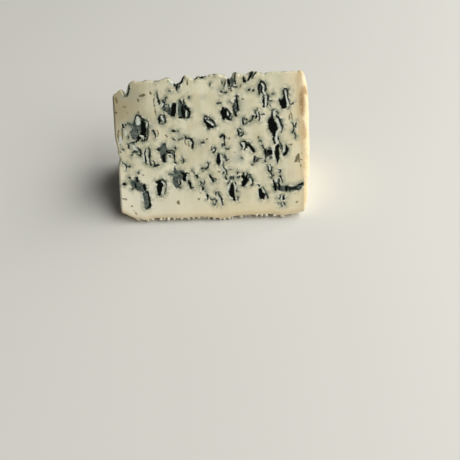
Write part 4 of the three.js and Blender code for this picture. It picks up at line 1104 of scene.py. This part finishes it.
# %% Crumbs along the foot edge
TEETH = np.array([15.3, 19.5, 23.4, 26.2, 30, 33.5, 36, 46.4, 49.5, 51.4, 54, 60.2, 68, 70.6, 73, 77])
SMALL_CRUMBS, CRUMBS_FROM, CRUMBS_TO = 34, 5, FACE_LENGTH - 4       # how many more, and from where to where
TOOTH_RADIUS, CRUMB_RADIUS = (0.65, 1.0), (0.25, 0.5)
LEAST_STRETCH, MOST_STRETCH = (0.8, 0.8, 0.9), (1.3, 1.0, 1.3)
MOST_HANG = 0.6                # a crumb hangs up to this much lower
BEHIND_EDGE, BELOW_EDGE = 0.9, 0.25         # a crumb's middle, from the sharp foot edge
DENT, DENT_LIMIT = 0.16, 1.5   # usual size of its dents, and the limit as a multiple of that
CRUMB_ROWS, CRUMB_COLUMNS = 6, 9
CRUMB_SEED = 81

draws = np.random.default_rng(CRUMB_SEED)
seat = np.concatenate([TEETH, draws.uniform(CRUMBS_FROM, CRUMBS_TO, SMALL_CRUMBS)])
crumb_count = len(seat)
large, small = draws.uniform(*TOOTH_RADIUS, len(TEETH)), draws.uniform(*CRUMB_RADIUS, SMALL_CRUMBS)
radius = np.concatenate([large, small])
stretch = draws.uniform(LEAST_STRETCH, MOST_STRETCH, (crumb_count, 3))
hang = draws.uniform(0.0, MOST_HANG, crumb_count)
edge_y, edge_z = foot_height(seat) * FACE_UP[1], FRONT_LIFT + foot_height(seat) * FACE_UP[2]
front_limit = box_low[1] + MIDDLE[1] + radius
centre = np.column_stack([seat, np.maximum(edge_y + BEHIND_EDGE, front_limit), edge_z - BELOW_EDGE - hang])
print("crumbs:", crumb_count, "of radius", np.round([radius.min(), radius.max()], 2), "mm")

# %% Their balls: rows of latitude and columns of longitude, with a point at each end
latitude = np.linspace(-1, 1, CRUMB_ROWS + 2)[1:-1] * math.pi / 2
longitude = np.arange(CRUMB_COLUMNS) * 2 * math.pi / CRUMB_COLUMNS
bow, turn = np.meshgrid(latitude, longitude, indexing="ij")
ball = np.stack([np.sin(bow), np.cos(bow) * np.cos(turn), np.cos(bow) * np.sin(turn)], -1).reshape(-1, 3)
ball = np.concatenate([ball, [(-1, 0, 0), (1, 0, 0)]])
dents = draws.normal(0, 1, (crumb_count, len(ball), 1)).clip(-DENT_LIMIT, DENT_LIMIT)
crumb_points = centre[:, None] + ball[None] * (1 + DENT * dents) * (radius[:, None] * stretch)[:, None]
first_points = len(ball) * np.arange(crumb_count)[:, None, None]
crumb_faces = closed_grid(CRUMB_ROWS, CRUMB_COLUMNS)[None] + first_points
crumb_points = in_box(crumb_points.reshape(-1, 3), CRUMB_CLEAR)
crumbs = make_piece("foot_edge_crumbs", crumb_points, crumb_faces.reshape(-1, 3))


# %% [markdown]
# ## Materials
# One small function adds a shader node with its settings and links, so the recipes below read like
# lists. Scales are real sizes: a noise of scale 1/0.0006 has grains of 0.6 mm.

# %% The node helper
SOFT = {"interpolation_type": "SMOOTHSTEP"}             # a Map Range node that eases at both ends
TINT = {"data_type": "RGBA", "out": 2}                  # a Mix node of colours, and its colour output
SHARE, UNDER, OVER = 0, 6, 7                            # that node's sockets


def add(tree, kind, inputs=None, out=0, **settings):
    """Adds one shader node and gives one of its outputs. Settings are the node's own properties, and
    inputs are its sockets, each with a value or with another node's output."""
    node = tree.nodes.new("ShaderNode" + kind)
    for name, value in settings.items():
        setattr(node, name, value)
    for socket, value in (inputs or {}).items():
        if isinstance(value, bpy.types.NodeSocket):
            tree.links.new(value, node.inputs[socket])
        else:
            node.inputs[socket].default_value = value
    return node.outputs[out] if node.outputs else node


def new_material(name):
    """An empty node material and its tree."""
    material = bpy.data.materials.new(name)
    material.use_nodes = True
    material.node_tree.nodes.clear()
    return material, material.node_tree


# %% [markdown]
# ### Blue cheese paste
# The paste is cow's milk curd: ivory, faintly translucent, moist enough for a satin gloss. Its tint
# isn't even. It is yellower towards the rind, greyer near the mould, and faintly streaked by the knife.
# Mould is dry and furry, so it is dull. In a hollow it is grey-green at the rim and nearly black-green
# deep down: the mould's own dark, with painted shade that grows with the hollow's depth.
# It also spreads into the paste around each hollow: a wide thin veil and a narrow dark halo; between
# them, in places, a pale lip is a painted highlight on the hollow's rim. The upper corner over the cut
# end is darkened by painted shade, and the lower one lightened by painted light. The colours are layered
# in the order in which the real stuff lies, and each layer is a share and a colour. Numbers in a share
# are millimetres where it follows a mark, metres where it follows a place, and the noise's own height
# where it follows a noise.

# %% Patterns on the paste, by their real sizes
cheese, tree = new_material("blue_cheese_paste_cut_and_natural_rind")
place = add(tree, "TexCoord", out="Object")
GRAIN_SIZES = {"slow": 0.009, "drift": 0.006, "patch": 0.0024, "mottle": 0.0011, "fine": 0.0007,
               "specks": 0.00035}
STREAK_SIZE = (0.0016, 0.004, 0.02)         # across the face, through it and up it
grain = {name: add(tree, "TexNoise", {"Vector": place, "Scale": 1 / size, "Detail": 3.0})
         for name, size in GRAIN_SIZES.items()}
turned = {"Vector": place, "Rotation": (-LEAN, 0, 0), "Scale": STREAK_SIZE}
streak_place = add(tree, "Mapping", turned, vector_type="TEXTURE")
streaks = add(tree, "TexNoise", {"Vector": streak_place, "Scale": 1.0, "Detail": 2.0})
mark = {name: add(tree, "Attribute", out="Fac", attribute_name=name) for name in fields_for_shader}
print("patterns:", len(tree.nodes))

# %% Ragged distances: each mark's distance, shaken by the fine grain
TOOTH = 0.9                    # the shake in mm is this times the fine noise less its middle, 0.5
tooth = add(tree, "Math", {0: grain["fine"], 1: TOOTH, 2: -TOOTH / 2}, operation="MULTIPLY_ADD")
SHAKES = {"hole_mm": 1, "pit_mm": 1.5, "curl_mm": 0.5, "stain_mm": 1.4, "haze_mm": 2, "rust_mm": 2.4,
          "rind_mm": 1.2, "deep_mm": 1.6}
ragged = {name: add(tree, "Math", {0: tooth, 1: share, 2: mark[name]}, operation="MULTIPLY_ADD")
          for name, share in SHAKES.items()}
print("ragged distances:", len(ragged))


# %% Layers of the paste
def eased(value, start, full, most=1.0):
    """A share that is 0 at the start and rises smoothly to the most at full."""
    sockets = {"Value": value, "From Min": start, "From Max": full, "To Max": most}
    return add(tree, "MapRange", sockets, **SOFT)


def both(first, second):
    """The product of two shares."""
    return add(tree, "Math", {0: first, 1: second}, operation="MULTIPLY")


def layered(colour, layers):
    """Lays colours over a first one, each by its share."""
    for share, over in layers:
        over = linear(over) if isinstance(over, str) else over
        colour = add(tree, "Mix", {SHARE: share, UNDER: colour, OVER: over}, **TINT)
    return colour


veil = both(eased(mark["hole_mm"], 2.8, 0.2), eased(grain["patch"], 0.36, 0.6, 0.95))
halo = both(eased(ragged["hole_mm"], 0.9, 0.05), eased(grain["mottle"], 0.4, 0.6, 0.9))
# The pale lip round the hollows is a painted highlight: light on the hollows' rims, painted into the paste
lip = both(eased(mark["hole_mm"], 0.8, 0.4), eased(grain["patch"], 0.5, 0.38, 0.6))
along, _, height = (add(tree, "SeparateXYZ", {0: place}, out=axis) for axis in range(3))
# Painted shade darkens the upper corner over the cut end, and painted light brightens the lower corner
painted_shade_upper_corner = both(eased(along, -0.022, -0.045, 0.95), eased(height, 0.026, 0.046))
painted_light_lower_corner = both(eased(along, 0.01, -0.035, 0.7), eased(height, 0.03, 0.01))
stain = layered(linear("#5A5124"), [(grain["slow"], "#715C27")])
paste = layered(linear("#EEE8CB"), [
    (eased(grain["slow"], 0.35, 0.65), "#DFD8B6"),
    (eased(grain["drift"], 0.5, 0.7, 0.35), "#E8D6B6"),
    (eased(grain["drift"], 0.48, 0.3, 0.35), "#D3D3B2"),
    (eased(streaks, 0.45, 0.7, 0.35), "#F6F2DE"),
    (eased(mark["rind_mm"], 11, 0.5, 0.7), "#F3E4BC"),
    # painted shade on the upper corner, then painted light on the lower one
    (painted_shade_upper_corner, "#B2A685"),
    (painted_light_lower_corner, "#F8F3DE"),
    (eased(ragged["rind_mm"], 2.6, 0.3, 0.5), "#D6BD8A"),
    (veil, "#B3B59B"),
    # painted highlight round the hollows' rims
    (lip, "#F8F6E8"),
    (eased(ragged["haze_mm"], 2.2, -1.6, 0.55), "#A9AC9E"),
    (halo, "#80866F"),
    (eased(ragged["stain_mm"], 0.3, -0.2, 0.9), stain),
])
print("paste nodes so far:", len(tree.nodes))

# %% Mould, curls and rind over it
# Pit mould: grey-green at the rim, near black deep down; the darkening with depth is partly painted shade
# of the recess
pit_mould_and_painted_shade = layered(linear("#565D53"), [(eased(ragged["deep_mm"], 0.0, 1.5), "#080B07")])
slate_fur = layered(linear("#59625C"), [
    (eased(grain["mottle"], 0.48, 0.68, 0.7), "#8A9389"),
    (eased(grain["patch"], 0.52, 0.36, 0.7), "#2E3733"),
])
mould = layered(slate_fur, [(eased(ragged["pit_mm"], 0.3, -0.15), pit_mould_and_painted_shade)])
in_hole = eased(ragged["hole_mm"], 0.14, -0.1)
on_curl = eased(ragged["curl_mm"], 0.08, -0.1)
rind_tint = layered(linear("#E6CD9E"), [
    (eased(mark["rind_mm"], -0.6, -3.4), "#F3E1B6"),
    (eased(grain["slow"], 0.45, 0.7, 0.5), "#DDBE88"),
    (eased(grain["patch"], 0.45, 0.7, 0.5), "#F7EDD0"),
    (eased(height, 0.008, 0.004), "#EADDBB"),
    (eased(ragged["rust_mm"], 1.6, -0.9, 0.95), "#AD8752"),
])
body = layered(paste, [
    (in_hole, mould),
    # Curls: pale grey-white paste, made brighter than the paste alone would be, as a painted highlight on
    # the ridges
    (on_curl, "#DADFD4"),
    (eased(ragged["rind_mm"], 0.35, -0.35), rind_tint),
])
print("paste nodes:", len(tree.nodes))

# %% Surface of the paste
STREAK_BUMP, SPECK_BUMP = 0.25, 0.8         # against the fine grain's own height of 1
PASTE_ROUGHNESS, MOULD_ROUGHNESS, CURL_GLOSS = 0.45, 0.8, -0.3
PASTE_SHINE, MOULD_SHINE = 0.5, 0.08
CURD_IOR = 1.45                # water with fat and protein in it
CURD_GLOW = (1.0, 0.75, 0.45)  # light creeps furthest in red
GLOW_SHARE, GLOW_REACH = 0.15, 0.0012       # share of the light that creeps, and how far in metres
BUMP_SHARE, BUMP_HEIGHT = 0.5, 0.00015      # share of the bumps that shows, and their height in metres
bumps = add(tree, "Math", {0: streaks, 1: STREAK_BUMP, 2: grain["fine"]}, operation="MULTIPLY_ADD")
bumps = add(tree, "Math", {0: grain["specks"], 1: SPECK_BUMP, 2: bumps}, operation="MULTIPLY_ADD")
bump = add(tree, "Bump", {"Height": bumps, "Strength": BUMP_SHARE, "Distance": BUMP_HEIGHT})
dull = add(tree, "MapRange", {"Value": in_hole, "To Min": PASTE_ROUGHNESS, "To Max": MOULD_ROUGHNESS})
dull = add(tree, "Math", {0: on_curl, 1: CURL_GLOSS, 2: dull}, operation="MULTIPLY_ADD")
shine = add(tree, "MapRange", {"Value": in_hole, "To Min": PASTE_SHINE, "To Max": MOULD_SHINE})
surface = add(tree, "BsdfPrincipled", {
    "Base Color": body, "Roughness": dull, "Specular IOR Level": shine, "Normal": bump, "IOR": CURD_IOR,
    "Subsurface Weight": GLOW_SHARE, "Subsurface Radius": CURD_GLOW, "Subsurface Scale": GLOW_REACH,
})
add(tree, "OutputMaterial", {"Surface": surface})
wedge.data.materials.append(cheese)
print("nodes of the finished paste:", len(tree.nodes))

# %% [markdown]
# ### Crumbs of paste
# Loose crumbs have dried a little, so they are paler and duller than the paste they fell from.

# %% Crumb material
crumb_paste, tree = new_material("crumbled_cheese_paste_dried")
place = add(tree, "TexCoord", out="Object")
PATCH_SIZE, GRIT_SIZE = 0.004, 0.0003
GRIT_SHARE, GRIT_HEIGHT = 0.4, 0.0001
DRY_ROUGHNESS = 0.6
DRY_GLOW_SHARE, DRY_GLOW_REACH = 0.2, 0.0008
uneven = add(tree, "TexNoise", {"Vector": place, "Scale": 1 / PATCH_SIZE, "Detail": 2.0})
tint = add(tree, "Mix", {SHARE: uneven, UNDER: linear("#F6F2E2"), OVER: linear("#E9DDBB")}, **TINT)
grit = add(tree, "TexNoise", {"Vector": place, "Scale": 1 / GRIT_SIZE, "Detail": 2.0})
bump = add(tree, "Bump", {"Height": grit, "Strength": GRIT_SHARE, "Distance": GRIT_HEIGHT})
surface = add(tree, "BsdfPrincipled", {
    "Base Color": tint, "Roughness": DRY_ROUGHNESS, "Normal": bump, "IOR": CURD_IOR,
    "Subsurface Weight": DRY_GLOW_SHARE, "Subsurface Radius": CURD_GLOW,
    "Subsurface Scale": DRY_GLOW_REACH,
})
add(tree, "OutputMaterial", {"Surface": surface})
crumbs.data.materials.append(crumb_paste)
print("nodes of the crumbs' material:", len(tree.nodes))

# %% [markdown]
# ## What stands for what
# The skin replaces the plain solid, and both pieces ride on the one body.

# %% Tie the pieces to the frame
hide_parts("cheese_wedge")
for piece in (wedge, crumbs):
    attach(piece, "root")
print("pieces on the body:", wedge.name, "and", crumbs.name)

# %% [markdown]
# ## Floor, light and camera
# The floor is plain and pale. The light is one very wide soft window to the right: because it is wide,
# the shadow on the left is dark at the piece and fades out softly. It grazes the front face, so every
# ridge shows.

# %% Floor
FLOOR_REACH, FLOOR_DROP = 6000, 0.05        # half its side, and how far it lies below the piece
GLAZE_ROUGHNESS = 0.55
corners = np.array([(-1, -1, 0), (1, -1, 0), (1, 1, 0), (-1, 1, 0)]) * FLOOR_REACH - (0, 0, FLOOR_DROP)
floor = make_piece("floor", corners, np.array([(0, 1, 2), (0, 2, 3)]))
ceramic, tree = new_material("pale_glazed_floor")
surface = add(tree, "BsdfPrincipled", {"Base Color": linear("#DEDDD7"), "Roughness": GLAZE_ROUGHNESS})
add(tree, "OutputMaterial", {"Surface": surface})
floor.data.materials.append(ceramic)


# %% Light
WINDOW_TURN, WINDOW_RISE = math.radians(-2), math.radians(44)      # from +X towards +Y, and from the floor
WINDOW_DISTANCE, WINDOW_SIZE, WINDOW_POWER = 2.5, (5.0, 2.0), 130  # metres and watts
lamp = bpy.data.lights.new("window", "AREA")
lamp.shape = "RECTANGLE"
lamp.size, lamp.size_y = WINDOW_SIZE
lamp.energy = WINDOW_POWER
lamp.color = linear("#FFFEFA")[:3]
window = bpy.data.objects.new("window", lamp)
bpy.context.scene.collection.objects.link(window)
level = WINDOW_DISTANCE * math.cos(WINDOW_RISE)
window.location = (level * math.cos(WINDOW_TURN), level * math.sin(WINDOW_TURN),
                   WINDOW_DISTANCE * math.sin(WINDOW_RISE))
window.rotation_euler = (math.pi / 2 - WINDOW_RISE, 0, WINDOW_TURN + math.pi / 2)
print("window at", [round(c, 2) for c in window.location])

# %% Room
ROOM_LIGHT, WALL_SEEN = 0.05, 0.62          # how strongly the walls light the piece, and how they look
room = bpy.data.worlds.new("room")
bpy.context.scene.world = room
room.use_nodes = True
tree = room.node_tree
tree.nodes.clear()
seen = add(tree, "LightPath", out="Is Camera Ray")
strength = add(tree, "MapRange", {"Value": seen, "To Min": ROOM_LIGHT, "To Max": WALL_SEEN})
wall = add(tree, "Background", {"Color": linear("#E9EBEE"), "Strength": strength})
add(tree, "OutputWorld", {"Surface": wall})
bpy.context.scene.view_settings.view_transform = "Standard"
print("the walls light the piece at", ROOM_LIGHT, "and are seen at", WALL_SEEN)

# %% Camera
CAMERA_PLACE = (-0.00235, -0.2026, 0.1775)
CAMERA_DOWN, CAMERA_TURN = 46.1, -2.96      # degrees below the horizon, and turned towards +X
FOCAL_LENGTH, SENSOR_WIDTH = 38.58, 36      # mm
lens = bpy.data.cameras.new("camera")
lens.lens, lens.sensor_width = FOCAL_LENGTH, SENSOR_WIDTH
camera = bpy.data.objects.new("camera", lens)
camera.location = CAMERA_PLACE
camera.rotation_euler = (math.radians(90 - CAMERA_DOWN), 0, math.radians(CAMERA_TURN))
bpy.context.scene.collection.objects.link(camera)
bpy.context.scene.camera = camera
print("the camera looks", CAMERA_DOWN, "degrees down, from", CAMERA_PLACE)
